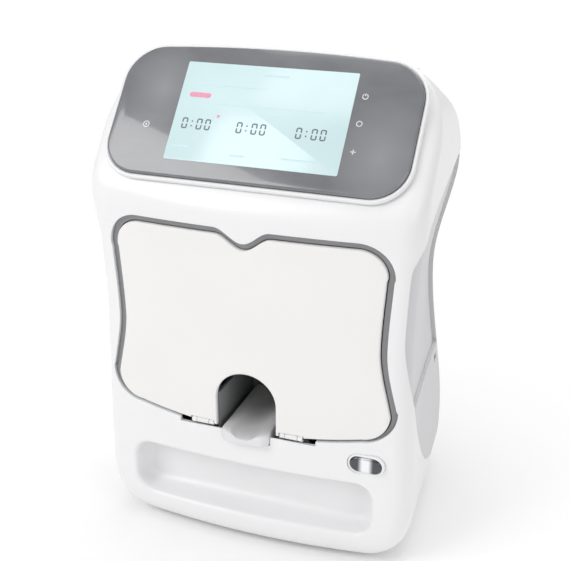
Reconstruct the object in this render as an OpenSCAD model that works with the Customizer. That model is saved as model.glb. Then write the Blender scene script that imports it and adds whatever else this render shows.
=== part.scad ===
// Countertop nail art printer: waisted plastic casing, tilted touch screen,
// drop-down front door with a finger hole, two-axis print carriage and ink cartridge.
// Front faces -Y, +X is right, +Z is up. Millimetres.

/* [Casing] */
// Width of the casing across the head
head_w = 214; // [210:1:220]
// Width of the casing at the waist
waist_w = 208; // [205:1:210]
// Width of the casing above the rounded foot
low_w = 213; // [210:1:216]
// Width of the back at the head
head_back_w = 201; // [198:1:206]
// Width of the back at the waist
waist_back_w = 165; // [164:1:172]
// Width of the back above the rounded foot
low_back_w = 190; // [187:1:196]
// Height of the waist
waist_z = 155; // [145:1:165]
// Height of the widest part of the head
head_z = 240; // [236:1:246]
// Height at which the back is narrowest
back_waist_z = 165; // [160:1:170]
// Height above which the back is at its full width
back_head_z = 255; // [248:1:260]
// Height at which the hood would close without its sloped face
top_z = 322; // [320:1:325]
// Front corners of the casing, before the face bulges
front_y = -68.5; // [-71.5:1:-67.5]
// Back of the casing
back_y = 81.5; // [80.5:1:86.5]
// How far the middle of the front stands forward
bulge = 8; // [6:0.5:10]
// How far the chin stands forward of the door
chin_out = 5; // [3:0.5:7]
// Rounding of the front corners, seen from above
front_r = 14; // [10:1:18]
// Rounding of the back corners, seen from above
back_r = 24; // [20:1:25]
// Wall of the casing
wall = 2.5; // [2:0.1:3]
// Height of the rounding at the foot
foot_h = 36; // [33:1:42]
// How far the sides draw in at the foot
foot_in = 26; // [23:1:29]

/* [Screen] */
// Lean of the screen back from upright
screen_tilt = 40; // [38:1:42]
// Centre of the sloped face, front to back
screen_y = -43.5; // [-45.5:0.5:-41.5]
// Centre of the sloped face, height
screen_z = 278; // [276:1:280]
// Width of the glass
glass_w = 188; // [182:1:190]
// Height of the glass along the slope
glass_h = 83; // [80:1:84]
// Corner radius of the glass
glass_r = 22; // [20:1:28]
// Rise of the glass's top edge in its middle
glass_bow = 4.5; // [3:0.5:5]
// Thickness of the glass
glass_t = 4; // [3:0.5:5]
// White rim around the glass
rim = 2.5; // [2:0.5:3.5]
// Width of the lit display
display_w = 108; // [100:1:112]
// Height of the lit display
display_h = 64.8; // [60:0.2:66]

/* [Door] */
// Casing beside the door at its top
door_top_in = 20.5; // [19:0.5:22]
// Casing beside the door at its waist
door_waist_in = 20.5; // [18.5:0.5:22]
// Casing beside the door near its bottom
door_low_in = 13.5; // [11.5:0.5:16.5]
// Top of the door
door_top_z = 218; // [215:1:221]
// Bottom corners of the door
door_low_z = 94; // [92:1:96]
// How far the middle of the bottom edge hangs below its corners
door_bow = 7; // [5:0.5:8]
// Corner radius of the door
door_r = 17; // [14:1:20]
// Thickness of the door
door_t = 3; // [2.5:0.1:3.5]
// Width of the dark trim around the door
trim_w = 4; // [3:0.5:5]
// Depth of the groove around the door
trim_deep = 2.3; // [1.5:0.1:2.4]
// Running gap around the door
door_gap = 0.6; // [0.5:0.1:0.9]
// Half width of the finger notch at the door's top
notch_x = 18; // [16:1:20]
// Depth of that notch
notch_h = 9; // [7:1:11]
// Width of the finger hole
hole_w = 40; // [37:1:41]
// Top of the finger hole
hole_top_z = 127; // [123:1:130]
// Distance of each door hinge from the middle
hinge_x = 30; // [29:1:34]

/* [Hand recess and button] */
// Half width of the hand recess
recess_x = 82; // [76:1:84]
// Bottom of the hand recess
recess_low_z = 24; // [22:1:28]
// Top of the hand recess
recess_top_z = 61; // [56:1:62]
// Back wall of the hand recess
recess_back_y = -55.5; // [-59.5:1:-53.5]
// Distance of the power button from the casing's side
button_in = 28.5; // [26.5:1:34.5]
// Height of the power button
button_z = 77; // [76:0.5:79]
// Length of the power button
button_w = 20; // [17:1:22]
// Height of the power button's face
button_h = 10; // [9:0.5:11]
// Travel of the power button
button_travel = 1.5; // [1:0.1:1.6]

/* [Print mechanism] */
// Height of the chassis floor's top face
floor_z = 69; // [68:0.5:70]
// Thickness of the chassis sheet
sheet = 2.5; // [2:0.1:3]
// Distance of the chassis from the casing's narrow back
chassis_in = 5.5; // [5:0.5:6.5]
// Radius of the two cross rods
rod_r = 4; // [3:0.5:5]
// Distance of the cross rods behind the origin
rod_y = 50.5; // [49.5:0.5:50.5]
// Height of the belt, midway between the cross rods
belt_z = 140; // [138:1:142]
// Distance between the two cross rods
rod_pitch = 40; // [38:1:42]
// Radius of the two rods that run front to back
y_rod_r = 3; // [2:0.5:3.5]
// Radius of the lead screw
screw_r = 2.5; // [2:0.1:3]
// Length of the ink cartridge's body
cart_l = 64; // [60:1:66]
// Width of the ink cartridge's body
cart_w = 34; // [30:1:36]
// Height of the ink cartridge's body
cart_h = 46; // [42:1:48]
// Lid overhang around the cartridge's body
lid_over = 2; // [1.5:0.1:2.4]
// Clearance of the cartridge in its carriage
cart_gap = 0.4; // [0.3:0.1:0.6]
// Running clearance of shafts and rods
run_gap = 0.05; // [0.02:0.01:0.08]

/* [Foot and back] */
// Height of the rubber feet
pad_h = 3; // [2:0.5:4]
// Radius of the rubber feet
pad_r = 8; // [6:0.5:9]
// Side of the square fan
fan_w = 40; // [36:1:40]
// Thickness of the fan
fan_t = 10; // [8:1:11]
// Radius of the power inlet's bore
inlet_r = 2.9; // [2.5:0.1:3.2]

/* [Hidden] */

$fn = 48;
far = 400;
base_z = pad_h;
hood_z = 208;
hood_drop = 168;
crown_z = 266;
crown_in = 54;
foot_edge_h = 16;
foot_edge_in = 12;
low_z = 48;
head_seam_z = 226;
chin_low_z = 200;
chin_high_z = 238;
chin_r = 26;
seam = 0.3;
foot_steps = 6;
middle_steps = 9;
hood_steps = 11;

// the rear and side openings of the front shell, seen from the side
side_front_y = front_y + 1.7;
side_up_z = 203;
side_up_r = 26;
side_rise = 11.5;
side_mid_z = 165;
side_down_r = 145;
side_low_angle = 234;
side_low_y = back_y + 5;
rear_seam_y = back_y - 24;
rear_seam_z = 104.5;
rear_seam_lean = 0.08;
panel_lap = 4;
panel_t = 2.2;
door_top_x = head_w / 2 - door_top_in;
door_waist_x = waist_w / 2 - door_waist_in;
door_low_x = low_w / 2 - door_low_in;
button_x = low_w / 2 - button_in;
chassis_x = waist_back_w / 2 - chassis_in;
panel_front_x = door_top_x + trim_w + door_gap + 1;

// front surface that the door and its parts follow
hinge_z = door_low_z - 6;
hinge_deep = 2.4;
knuckle_r = 2.2;
knuckle_l = 8;
pin_r = 1.2;
ear_t = 3.2;
ear_gap = 0.3;
sweep_r = 3.4;
leaf_h = 10;
hinge_y = front_at(hinge_x, hinge_z) + hinge_deep;
front_zone_y = front_y + 22;

// print mechanism
pulley_r = 5.816;
belt_t = 0.8;
belt_w = 6;
belt_slack = 0.15;
flange_r = 7.6;
flange_t = 1.2;
pulley_gap = 0.6;
belt_y = rod_y + 8;
pulley_x = chassis_x - 12;
shaft_r = 2.5;
can_r = 11;
can_h = 22;
low_rod_z = belt_z - rod_pitch / 2;
high_rod_z = belt_z + rod_pitch / 2;
block_x = 16;
block_deep = 7;
block_over = 6;
bush_r = rod_r + 3;
bush_l = 10;
chassis_back_y = belt_y + 10.5;
chassis_front_y = front_y + 7;
cheek_deep = 24;
mount_z = high_rod_z + bush_r;
cross_y = rod_y - block_deep - 1;
cross_t = 4;
cross_x = 35;
stage_x = 28;
stage_z = belt_z - 15;
bar_t = 4;
stage_travel = 10;
stage_gap = 1.4;
carriage_wall = 2.2;
carriage_l = cart_l + 2 * cart_gap + 2 * carriage_wall;
carriage_w = cart_w + 2 * cart_gap + 2 * carriage_wall;
carriage_y = cross_y - cross_t - stage_gap - stage_travel - carriage_l / 2;
bar_y = carriage_y - carriage_l / 2 - stage_travel - stage_gap;
cart_z = belt_z - 25;
carriage_floor = 2.2;
carriage_h = 34;
ear_l = 40;
snout_l = 26;
snout_w = 16;
snout_h = 3;
lid_t = 4;
lid_rim = 1.5;
lid_l = cart_l + 3 * lid_over;
cart_r = 2;

// finger place
rest_w = 32;
rest_low_z = floor_z + 11;
rest_t = 8;
rest_groove_r = 14;
rest_front_y = front_y - bulge - 5;
rest_back_y = front_y + 51;
chamber_w = 44;
chamber_wall = 2;
chamber_h = 28;
chamber_leg = 6;
chamber_front_y = hinge_y + 3.2;

function ease(t) = let (u = max(0, min(1, t))) u * u * (3 - 2 * u);
function quarter(t) = let (u = max(0, min(1, t))) 1 - sqrt(1 - u * u);
function between(z, low, mid, high, mid_z, high_z) = z < mid_z
    ? mid + (low - mid) * ease((mid_z - z) / (mid_z - low_z))
    : mid + (high - mid) * ease((z - mid_z) / (high_z - mid_z));
function drawn_in(z) = foot_in * quarter(1 - (z - base_z) / foot_h)
    + crown_in * quarter((z - crown_z) / (top_z - crown_z));
function half_w(z) = between(z, low_w, waist_w, head_w, waist_z, head_z) / 2 - drawn_in(z);
function back_half_w(z) = between(z, low_back_w, waist_back_w, head_back_w,
    back_waist_z, back_head_z) / 2 - drawn_in(z);
function foot_edge(z) = foot_edge_in * quarter(1 - (z - base_z) / foot_edge_h);
function y_front(z) = front_y - chin_out * ease((z - chin_low_z) / (chin_high_z - chin_low_z))
    + foot_edge(z);
function y_back(z) = back_y - foot_edge(z) - hood_drop * quarter((z - hood_z) / (top_z - hood_z));
function front_at(x, z) = y_front(z) - bulge * (1 - pow(x / half_w(z), 2));
function side_at(y, z) = let (s = (y - y_front(z)) / (y_back(z) - y_front(z)))
    half_w(z) + (back_half_w(z) - half_w(z)) * s;

function arc(cx, cy, r, from, to, n) =
    [for (i = [0:n]) let (a = from + (to - from) * i / n) [cx + r * cos(a), cy + r * sin(a)]];
function mirrored(half) = [for (i = [len(half) - 1:-1:0]) [-half[i].x, half[i].y]];
function box_outline(w, h, r, n = 6) = concat(
    arc(w / 2 - r, h / 2 - r, r, 0, 90, n), arc(r - w / 2, h / 2 - r, r, 90, 180, n),
    arc(r - w / 2, r - h / 2, r, 180, 270, n), arc(w / 2 - r, r - h / 2, r, 270, 360, n));

// one level of the casing, drawn in by t: front edge, corner, side, back corner, back edge
function half_section(w, d, rf, rb) = concat(
    [for (i = [0:4]) [(w - rf) * i / 5, 0]],
    arc(w - rf, rf, rf, -90, 0, 4),
    [[w, rf + (d - rf - rb) / 2]],
    arc(w - rb, d - rb, rb, 0, 90, 5),
    [[0, d]]);
function section(z, t) =
    let (w = half_w(z) - t, k = (back_half_w(z) - t) / w, y0 = y_front(z) + t,
         d = y_back(z) - t - y0,
         half = half_section(w, d, min(front_r, d * 0.3), min(back_r, d * 0.45)), n = len(half))
    [for (i = [0:2 * n - 3])
        let (p = i < n ? half[i] : [-half[2 * n - 2 - i].x, half[2 * n - 2 - i].y], s = p.y / d)
        [p.x * (1 + (k - 1) * s), y0 + p.y - bulge * (1 - pow(p.x / w, 2)) * (1 - s)]];
levels = concat(
    [for (i = [0:foot_steps]) base_z + foot_h * (1 - cos(90 * i / foot_steps))],
    [for (i = [1:middle_steps]) base_z + foot_h
        + (hood_z - base_z - foot_h) * i / middle_steps],
    [for (i = [1:hood_steps]) hood_z + (top_z - 2 - hood_z) * sin(90 * i / hood_steps)]);
function level_z(z, t) = base_z + t + (z - base_z) * (1 - 2 * t / (top_z - base_z));

function level(z, t) = [for (p = section(z, t)) [p.x, p.y, level_z(z, t)]];

// the whole outside form, drawn in by t
module form(t) for (i = [0:len(levels) - 2]) let (a = level(levels[i], t), n = len(a))
    hull() polyhedron(concat(a, level(levels[i + 1], t)),
        [[for (j = [0:n - 1]) j], [for (j = [0:n - 1]) n + j]]);

// local frame of the sloped face: x right, y up the slope, z out of it
module on_screen() translate([0, screen_y, screen_z]) rotate([90 - screen_tilt, 0, 0]) children();

// everything in front of the sloped face and of the rounded chin, drawn in by t
module face_cut(t) {
    on_screen() translate([-far / 2, -far / 2, -t]) cube([far, far, far]);
    out = [-cos(screen_tilt), sin(screen_tilt)];
    cy = front_y - chin_out - bulge + chin_r;
    cz = screen_z - ((cy - screen_y) * out.x + chin_r) / out.y;
    for (a = [screen_tilt / 4, screen_tilt / 2, screen_tilt * 3 / 4])
        translate([0, cy, cz]) rotate([90 - a, 0, 0])
            translate([-far / 2, -far / 2, chin_r - t]) cube([far, far, far]);
}

module solid_form(t) difference() { form(t); face_cut(t); }

// prisms that cut the form: along X from a side outline, along Y from a front outline
module across(outline) translate([-far / 2, 0, 0]) rotate([90, 0, 90]) linear_extrude(far)
    polygon(outline);
module from_front(outline, y0, y1) translate([0, y1, 0]) rotate([90, 0, 0])
    linear_extrude(y1 - y0) polygon(outline);

function side_top_z(y, g) = side_up_z + (side_up_r + g) / cos(side_rise)
    + (y - side_front_y - side_up_r) * tan(side_rise);
function side_opening(g) = concat(
    arc(side_front_y + side_up_r, side_up_z, side_up_r + g, 90 + side_rise, 180, 8),
    arc(side_front_y + side_down_r, side_mid_z, side_down_r + g, 184, side_low_angle, 10),
    [[side_low_y, base_z - 1 - g], [far / 2, base_z - 1 - g], [far / 2, side_top_z(far / 2, g)]]);
// everything behind the rear seam and below its forward run
rear_seam = [
    [rear_seam_y, top_z], [rear_seam_y, rear_seam_z],
    [-far / 2, rear_seam_z + rear_seam_lean * (rear_seam_y + far / 2)],
    [-far / 2, base_z - 1], [far / 2, base_z - 1], [far / 2, top_z]];

function door_edge(z) = z < waist_z
    ? door_waist_x + (door_low_x - door_waist_x) * ease((waist_z - z) / (waist_z - door_low_z))
    : door_waist_x + (door_top_x - door_waist_x) * ease((z - waist_z) / (door_top_z - waist_z));
function notch_dip(x) = abs(x) < notch_x ? notch_h * (1 + cos(180 * x / notch_x)) / 2 : 0;
// outline of the door, grown by g at its sides and top and by gb at its bottom
function door_half(g, gb) =
    let (zt = door_top_z + g, zb = door_low_z - gb, r = door_r + g,
         xt = door_edge(door_top_z) + g, xb = door_edge(door_low_z + door_r) + g)
    concat(
        [for (i = [0:8]) let (x = (xb - r) * i / 8) [x, zb - door_bow * (1 - pow(x / (xb - r), 2))]],
        arc(xb - r, zb + r, r, 285, 360, 5),
        [for (i = [1:6]) let (z = zb + r + (zt - zb - 2 * r) * i / 7) [door_edge(z) + g, z]],
        arc(xt - r, zt - r, r, 0, 90, 6),
        [for (i = [0:8]) let (x = notch_x * (1 - i / 8)) [x, zt - notch_dip(x)]]);
function door_outline(g, gb) = concat(door_half(g, gb), mirrored(door_half(g, gb)));

function hole_outline(g) = let (r = hole_w / 2 + g, zc = hole_top_z - hole_w / 2)
    concat([[r, 0]], arc(0, zc, r, 0, 180, 16), [[-r, 0]]);
function recess_outline(g) = [for (p = box_outline(2 * recess_x + 2 * g,
    recess_top_z - recess_low_z + 2 * g, 12 + g))
    [p.x, p.y + (recess_top_z + recess_low_z) / 2]];
function stadium(w, h) = box_outline(w, h, h / 2 - 0.01, 8);

module along_x(x0, x1, y, z, r) translate([x0, y, z]) rotate([0, 90, 0]) cylinder(h = x1 - x0, r = r);
module along_y(x, y0, y1, z, r) translate([x, y1, z]) rotate([90, 0, 0]) cylinder(h = y1 - y0, r = r);
module along_z(x, y, z0, z1, r) translate([x, y, z0]) cylinder(h = z1 - z0, r = r);
module block(x0, x1, y0, y1, z0, z1) translate([x0, y0, z0]) cube([x1 - x0, y1 - y0, z1 - z0]);
// room around the hinge line for the door's bottom edge, fading out where the edge rises
module hinge_sweep() {
    straight = hinge_x + 12;
    along_x(-straight, straight, hinge_y, hinge_z, sweep_r);
    for (s = [-1, 1]) translate([s * straight, hinge_y, hinge_z]) rotate([0, s * 90, 0])
        cylinder(h = 9, r1 = sweep_r, r2 = 1);
}
module both_sides() { children(); mirror([1, 0, 0]) children(); }

// ---- casing ----

base_t = 3;
base_lip = 0.2;
function base_outline() = section(base_z, wall + base_lip);
button_y = front_at(button_x, button_z);

module front_casing() difference() {
    solid_form(0);
    solid_form(wall);
    across(side_opening(0));
    from_front(door_outline(trim_w + door_gap, door_gap + 1.2), -far, front_zone_y);
    from_front(recess_outline(wall), -far, 0);
    hinge_sweep();
    block(-rest_w / 2 - seam, rest_w / 2 + seam, -far, 0, rest_low_z - seam, hinge_z);
    translate([button_x, 0, button_z])
        from_front(stadium(button_w + 4, button_h + 4), -far, 0);
    on_screen() translate([0, 0, -20]) linear_extrude(40)
        polygon(box_outline(display_w + 12, display_h + 11, 3));
    linear_extrude(base_z + base_t) polygon(base_outline());
}

module front_shell() color("white") intersection() {
    front_casing();
    block(-far, far, -far, far, 0, head_seam_z);
}

module head_shell() color("white") intersection() {
    front_casing();
    block(-far, far, -far, far, head_seam_z, far);
}

module recess_tub() color("white") intersection() {
    solid_form(0);
    difference() {
        from_front(recess_outline(wall), -far, recess_back_y + wall);
        from_front(recess_outline(0), -far, recess_back_y);
    }
}

vent_x = fan_w / 2 + 2;

module rear_shell() color("whitesmoke") difference() {
    intersection() {
        solid_form(0);
        across(side_opening(-seam));
        across(rear_seam);
    }
    solid_form(wall);
    for (i = [-3:3]) translate([vent_x + i * 5, 0, 0])
        block(-1.4, 1.4, 0, far, base_z + 14, base_z + 42);
    along_y(inlet_x, 0, far, inlet_z, inlet_r + 1.6);
    block(0, far, port_y - port_w / 2 - seam, port_y + port_w / 2 + seam,
        port_z - seam, port_z + port_h + seam);
    linear_extrude(base_z + base_t) polygon(base_outline());
}

module side_panel() color("silver") difference() {
    intersection() {
        solid_form(wall);
        across(side_opening(panel_lap));
        translate([0, 0, rear_seam_z - panel_lap]) linear_extrude(far) polygon([
            [panel_front_x, -far], [far, -far], [far, rear_seam_y + panel_lap],
            [0, rear_seam_y + panel_lap], [0, front_zone_y], [panel_front_x, front_zone_y]]);
    }
    solid_form(wall + panel_t);
}
module side_panel_right() side_panel();
module side_panel_left() mirror([1, 0, 0]) side_panel();

screw_x = low_w / 2 - 48.5;
screw_front_y = recess_back_y + 20;
screw_back_y = back_y - 29;
module screw_places() for (x = [-screw_x, screw_x], y = [screw_front_y, screw_back_y])
    translate([x, y, 0]) children();

module base_plate() color("gainsboro") difference() {
    translate([0, 0, base_z]) linear_extrude(base_t) polygon(base_outline());
    screw_places() {
        along_z(0, 0, 0, far, 1.7);
        along_z(0, 0, 0, base_z + 1.6, 3.4);
    }
}

module rubber_feet() color("dimgray") for (s = [-1, 1], y = [screw_front_y, screw_back_y - 4])
    translate([s * (screw_x - 12), y, 0]) difference() {
        cylinder(h = pad_h, r = pad_r);
        translate([0, 0, -1]) cylinder(h = 1.6, r = pad_r / 2);
    }

module case_screws() color("gray") screw_places() {
    along_z(0, 0, base_z + 0.4, base_z + 1.6, 3);
    along_z(0, 0, base_z + 1.6, base_z + 12, 1.5);
}

// ---- screen ----

function bowed(p, g) = p.y < 0 ? p : [p.x, p.y
    + glass_bow * p.y / (glass_h / 2 + g) * (1 - pow(p.x / (glass_w / 2 + g), 2))];
function glass_outline(g) =
    let (flat = glass_w / 2 - glass_r,
        corners = box_outline(glass_w + 2 * g, glass_h + 2 * g, glass_r + g, 8),
        n = len(corners), top = [for (i = [1:11]) [flat * (1 - i / 6), glass_h / 2 + g]])
    [for (p = concat([for (i = [0:n / 4 - 1]) corners[i]], top,
            [for (i = [n / 4:n - 1]) corners[i]])) bowed(p, g)];

module screen_bezel() color("white") on_screen() difference() {
    linear_extrude(3) polygon(glass_outline(rim));
    translate([0, 0, 1]) linear_extrude(3) polygon(glass_outline(0.2));
    translate([0, 0, -1]) linear_extrude(3)
        polygon(box_outline(display_w + 12, display_h + 11, 3));
}

module screen_glass() color("dimgray") on_screen() hull() {
    translate([0, 0, 1]) linear_extrude(glass_t - 1) polygon(glass_outline(0));
    translate([0, 0, 1]) linear_extrude(glass_t) polygon(glass_outline(-1));
}

display_deep = 4;
module display_module() color("paleturquoise") on_screen() translate([0, 1.5, -display_deep])
    linear_extrude(display_deep + 1) polygon(box_outline(display_w + 8, display_h + 6, 1));

module display_board() color("darkgreen") on_screen() {
    back = -display_deep - board_t;
    block(6 - display_w / 2, display_w / 2 - 6, 4.4 - display_h / 2, display_h / 2 - 2.4,
        back, -display_deep);
    block(-40, -22, -20, 4, back - 2.6, back);
    block(-10, 12, -8, 14, back - 1.8, back);
    block(26, 44, -22, -12, back - 4, back);
}

// ---- door ----

module door_trim() color("dimgray") difference() {
    intersection() {
        solid_form(trim_deep);
        difference() {
            from_front(door_outline(trim_w + door_gap, door_gap + 1.2), -far, front_zone_y);
            from_front(door_outline(door_gap, door_gap), -far - 1, front_zone_y + 1);
        }
    }
    solid_form(door_t + 0.3);
    hinge_sweep();
    block(-rest_w / 2 - seam, rest_w / 2 + seam, -far, 0, 0, hinge_z);
}

ear_out = knuckle_l / 2 + ear_gap + ear_t;
module front_door() color("gainsboro") difference() {
    intersection() {
        solid_form(0);
        from_front(door_outline(0, 0), -far, front_zone_y);
    }
    solid_form(door_t);
    from_front(hole_outline(0), -far, 0);
    difference() {
        block(-60, 60, -far, 0, 0, hinge_z);
        along_x(-61, 61, hinge_y, hinge_z, sweep_r - ear_gap);
    }
    both_sides() {
        block(hinge_x - ear_out - seam, hinge_x + ear_out + seam, -far, 0, 0,
            hinge_z + knuckle_r + seam);
        block(hinge_x - knuckle_l / 2, hinge_x + knuckle_l / 2, hinge_y - 0.4, 0, 0,
            hinge_z + leaf_h);
    }
    block(-6, 6, strike_y, 0, strike_z, strike_z + 6);
}

module door_knuckles() color("gainsboro") both_sides() difference() {
    union() {
        along_x(hinge_x - knuckle_l / 2, hinge_x + knuckle_l / 2, hinge_y, hinge_z, knuckle_r);
        block(hinge_x - knuckle_l / 2, hinge_x + knuckle_l / 2, hinge_y - 0.4, hinge_y + knuckle_r,
            hinge_z, hinge_z + leaf_h);
    }
    along_x(hinge_x - far, hinge_x + far, hinge_y, hinge_z, pin_r + run_gap);
}

strike_z = door_top_z - notch_h - 12;
strike_y = front_at(0, strike_z) + door_t - 1.2;
module door_strike() color("silver") block(-6, 6, strike_y, strike_y + 1.6, strike_z, strike_z + 6);

module hinge_brackets() color("silver") both_sides() difference() {
    union() {
        block(hinge_x - ear_out, hinge_x + ear_out, chassis_front_y, chassis_front_y + 10,
            floor_z, floor_z + 2);
        for (s = [-1, 1]) translate([hinge_x + s * (ear_out - ear_t / 2), 0, 0]) {
            along_x(-ear_t / 2, ear_t / 2, hinge_y, hinge_z, knuckle_r);
            block(-ear_t / 2, ear_t / 2, hinge_y, chassis_front_y + 4,
                hinge_z - knuckle_r, hinge_z + knuckle_r);
            block(-ear_t / 2, ear_t / 2, chassis_front_y, chassis_front_y + 4,
                floor_z, hinge_z + knuckle_r);
        }
    }
    along_x(hinge_x - far, hinge_x + far, hinge_y, hinge_z, pin_r);
}

module hinge_pins() color("silver") both_sides()
    along_x(hinge_x - ear_out, hinge_x + ear_out, hinge_y, hinge_z, pin_r);

// ---- camera and lamp over the finger ----

shelf_z = door_top_z + trim_w + 4;
shelf_back_y = front_y + 12;
module camera_bracket() color("dimgray") intersection() {
    solid_form(wall);
    union() {
        block(-24, 24, -far, shelf_back_y, shelf_z, shelf_z + 3);
        block(-8, 8, strike_y + 4, strike_y + 6, strike_z, shelf_z);
    }
}
module latch_magnet() color("black") block(-6, 6, strike_y + 2, strike_y + 4, strike_z, strike_z + 6);
camera_y = front_y + 8;
module camera_module() color("black") {
    block(10, 22, camera_y - 4, camera_y + 4, shelf_z - 8, shelf_z);
    along_z(16, camera_y, shelf_z - 12, shelf_z - 8, 3.4);
}
module light_strip() color("white") block(-22, -10, camera_y - 3, camera_y + 3,
    shelf_z - 3, shelf_z);

// ---- power button ----

cap_out = 2;
cap_t = 4.5;
stem_l = 6;
module at_button() translate([button_x, button_y, button_z]) rotate([90, 0, 0]) children();
module button_bezel() color("dimgray") at_button() translate([0, 0, -3.4]) difference() {
    linear_extrude(4.2) polygon(stadium(button_w + 3.8, button_h + 3.8));
    translate([0, 0, -1]) linear_extrude(far) polygon(stadium(button_w + 0.6, button_h + 0.6));
}
module power_button() color("silver") at_button() {
    translate([0, 0, cap_out - cap_t]) linear_extrude(cap_t - 1)
        polygon(stadium(button_w, button_h));
    translate([0, 0, cap_out - 1]) linear_extrude(1)
        polygon(stadium(button_w - 2, button_h - 2));
    translate([0, 0, cap_out - cap_t - stem_l]) cylinder(h = stem_l, r = 2);
}
switch_face = cap_out - cap_t - stem_l - button_travel - 0.3;
module button_switch() color("dimgray") {
    at_button() {
        translate([-3, -3, switch_face - 4]) cube([6, 6, 3.2]);
        translate([0, 0, switch_face - 0.8]) cylinder(h = 0.8, r = 1.6);
    }
    block(button_x - 9, button_x + 9, button_y - switch_face + 4, button_y - switch_face + 4 + board_t,
        floor_z, button_z + 7);
}

// ---- finger place ----

module finger_rest() color("gray") difference() {
    translate([0, 0, rest_low_z]) linear_extrude(rest_t) translate([0, (rest_front_y + rest_back_y) / 2])
        polygon(box_outline(rest_w, rest_back_y - rest_front_y, 6));
    along_y(0, -far, far, rest_low_z + rest_t + 10, rest_groove_r);
}

module finger_chamber() color("dimgray") {
    outer = chamber_w / 2;
    back = rest_back_y + 6;
    difference() {
        block(-outer, outer, chamber_front_y, back, rest_low_z - chamber_wall, rest_low_z + chamber_h);
        block(chamber_wall - outer, outer - chamber_wall, -far, back - chamber_wall,
            rest_low_z, far);
    }
    for (y = [chamber_front_y + 2 * chamber_leg, back - 2 * chamber_leg])
        block(-outer, outer, y, y + chamber_leg, floor_z, rest_low_z - chamber_wall);
}

// ---- chassis ----

module chassis_frame() color("lightgray") difference() {
    union() {
        block(-chassis_x, chassis_x, chassis_front_y, chassis_back_y, floor_z - 3, floor_z);
        block(-chassis_x, chassis_x, chassis_back_y - sheet, chassis_back_y, floor_z, mount_z);
        both_sides() block(chassis_x - sheet, chassis_x, chassis_back_y - cheek_deep,
            chassis_back_y, floor_z, mount_z);
        block(chassis_x - 24, chassis_x, chassis_back_y - cheek_deep, chassis_back_y,
            mount_z, mount_z + sheet);
    }
    for (z = [low_rod_z, high_rod_z]) along_x(-far, far, rod_y, z, rod_r);
    along_z(pulley_x, belt_y, mount_z - 1, far, shaft_r + 2);
}

module chassis_posts() color("silver") screw_places() difference() {
    along_z(0, 0, base_z + base_t, floor_z - 3, 4);
    along_z(0, 0, 0, base_z + 12, 1.5);
}

module guide_rods() color("silver") for (z = [low_rod_z, high_rod_z])
    along_x(-chassis_x, chassis_x, rod_y, z, rod_r);

module x_motor() color("dimgray") difference() {
    along_z(pulley_x, belt_y, mount_z + sheet, mount_z + sheet + can_h, can_r);
    along_z(pulley_x, belt_y, 0, mount_z + sheet + can_h - 2, shaft_r + run_gap);
}

module pulley_form() {
    cylinder(h = belt_w + 2 * pulley_gap, r = pulley_r, center = true);
    for (s = [-1, 1]) translate([0, 0, s * (belt_w / 2 + pulley_gap + flange_t / 2)])
        cylinder(h = flange_t, r = flange_r, center = true);
}

module drive_pulley() color("silver") translate([pulley_x, belt_y, belt_z]) {
    pulley_form();
    cylinder(h = mount_z - belt_z + sheet + 12, r = shaft_r);
}

module idler_bracket() color("silver") {
    lug = belt_w / 2 + pulley_gap + flange_t + 0.5;
    for (s = [-1, 1]) translate([-pulley_x, 0, belt_z + s * (lug + 1)])
        block(-6, 6, belt_y - 5, chassis_back_y - sheet, -1, 1);
    along_z(-pulley_x, belt_y, belt_z - lug, belt_z + lug, 2);
}

module idler_pulley() color("gainsboro") translate([-pulley_x, belt_y, belt_z]) difference() {
    pulley_form();
    cylinder(h = far, r = 2 + run_gap, center = true);
}

module drive_belt() color("black") translate([0, belt_y, belt_z - belt_w / 2]) difference() {
    inner = pulley_r + belt_slack;
    linear_extrude(belt_w) polygon(concat(arc(pulley_x, 0, inner + belt_t, -90, 90, 24),
        arc(-pulley_x, 0, inner + belt_t, 90, 270, 24)));
    translate([0, 0, -1]) linear_extrude(belt_w + 2) polygon(concat(
        arc(pulley_x, 0, inner, -90, 90, 24), arc(-pulley_x, 0, inner, 90, 270, 24)));
}

// ---- gantry, carried across on the two cross rods ----

front_run_y = belt_y - pulley_r;
module gantry_frame() color("gainsboro") difference() {
    union() {
        block(-block_x, block_x, cross_y, rod_y + block_deep,
            low_rod_z - rod_r - block_over, high_rod_z + rod_r + 0.4);
        block(-cross_x, cross_x, cross_y - cross_t, cross_y,
            low_rod_z - rod_r - block_over, high_rod_z + rod_r + 0.4);
    }
    for (z = [low_rod_z, high_rod_z]) along_x(-far, far, rod_y, z, bush_r - 2);
    for (x = [-block_x - 1, block_x - bush_l + 1], z = [low_rod_z, high_rod_z])
        along_x(x, x + bush_l, rod_y, z, bush_r - 1);
    block(-far, far, front_run_y - 2, far, belt_z - belt_w / 2 - 1, belt_z + belt_w / 2 + 1);
    for (s = [-1, 1]) along_y(s * stage_x, -far, cross_y, stage_z, y_rod_r);
    along_y(stage_x, -far, cross_y, belt_z, screw_r + run_gap);
}

module gantry_bushings() color("goldenrod")
    for (x = [-block_x - 1, block_x - bush_l + 1], z = [low_rod_z, high_rod_z]) difference() {
        along_x(x, x + bush_l, rod_y, z, bush_r - 1);
        along_x(-far, far, rod_y, z, rod_r + run_gap);
    }

module gantry_bar() color("gainsboro") difference() {
    union() {
        block(-cross_x, cross_x, bar_y - bar_t, bar_y, stage_z - 6, stage_z + 6);
        block(stage_x - 7, cross_x, bar_y - bar_t, bar_y, stage_z, belt_z + 7);
    }
    for (s = [-1, 1]) along_y(s * stage_x, -far, far, stage_z, y_rod_r);
    along_y(stage_x, -far, far, belt_z, screw_r + run_gap);
}

module stage_rods() color("silver") for (s = [-1, 1])
    along_y(s * stage_x, bar_y - bar_t, cross_y, stage_z, y_rod_r);

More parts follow.
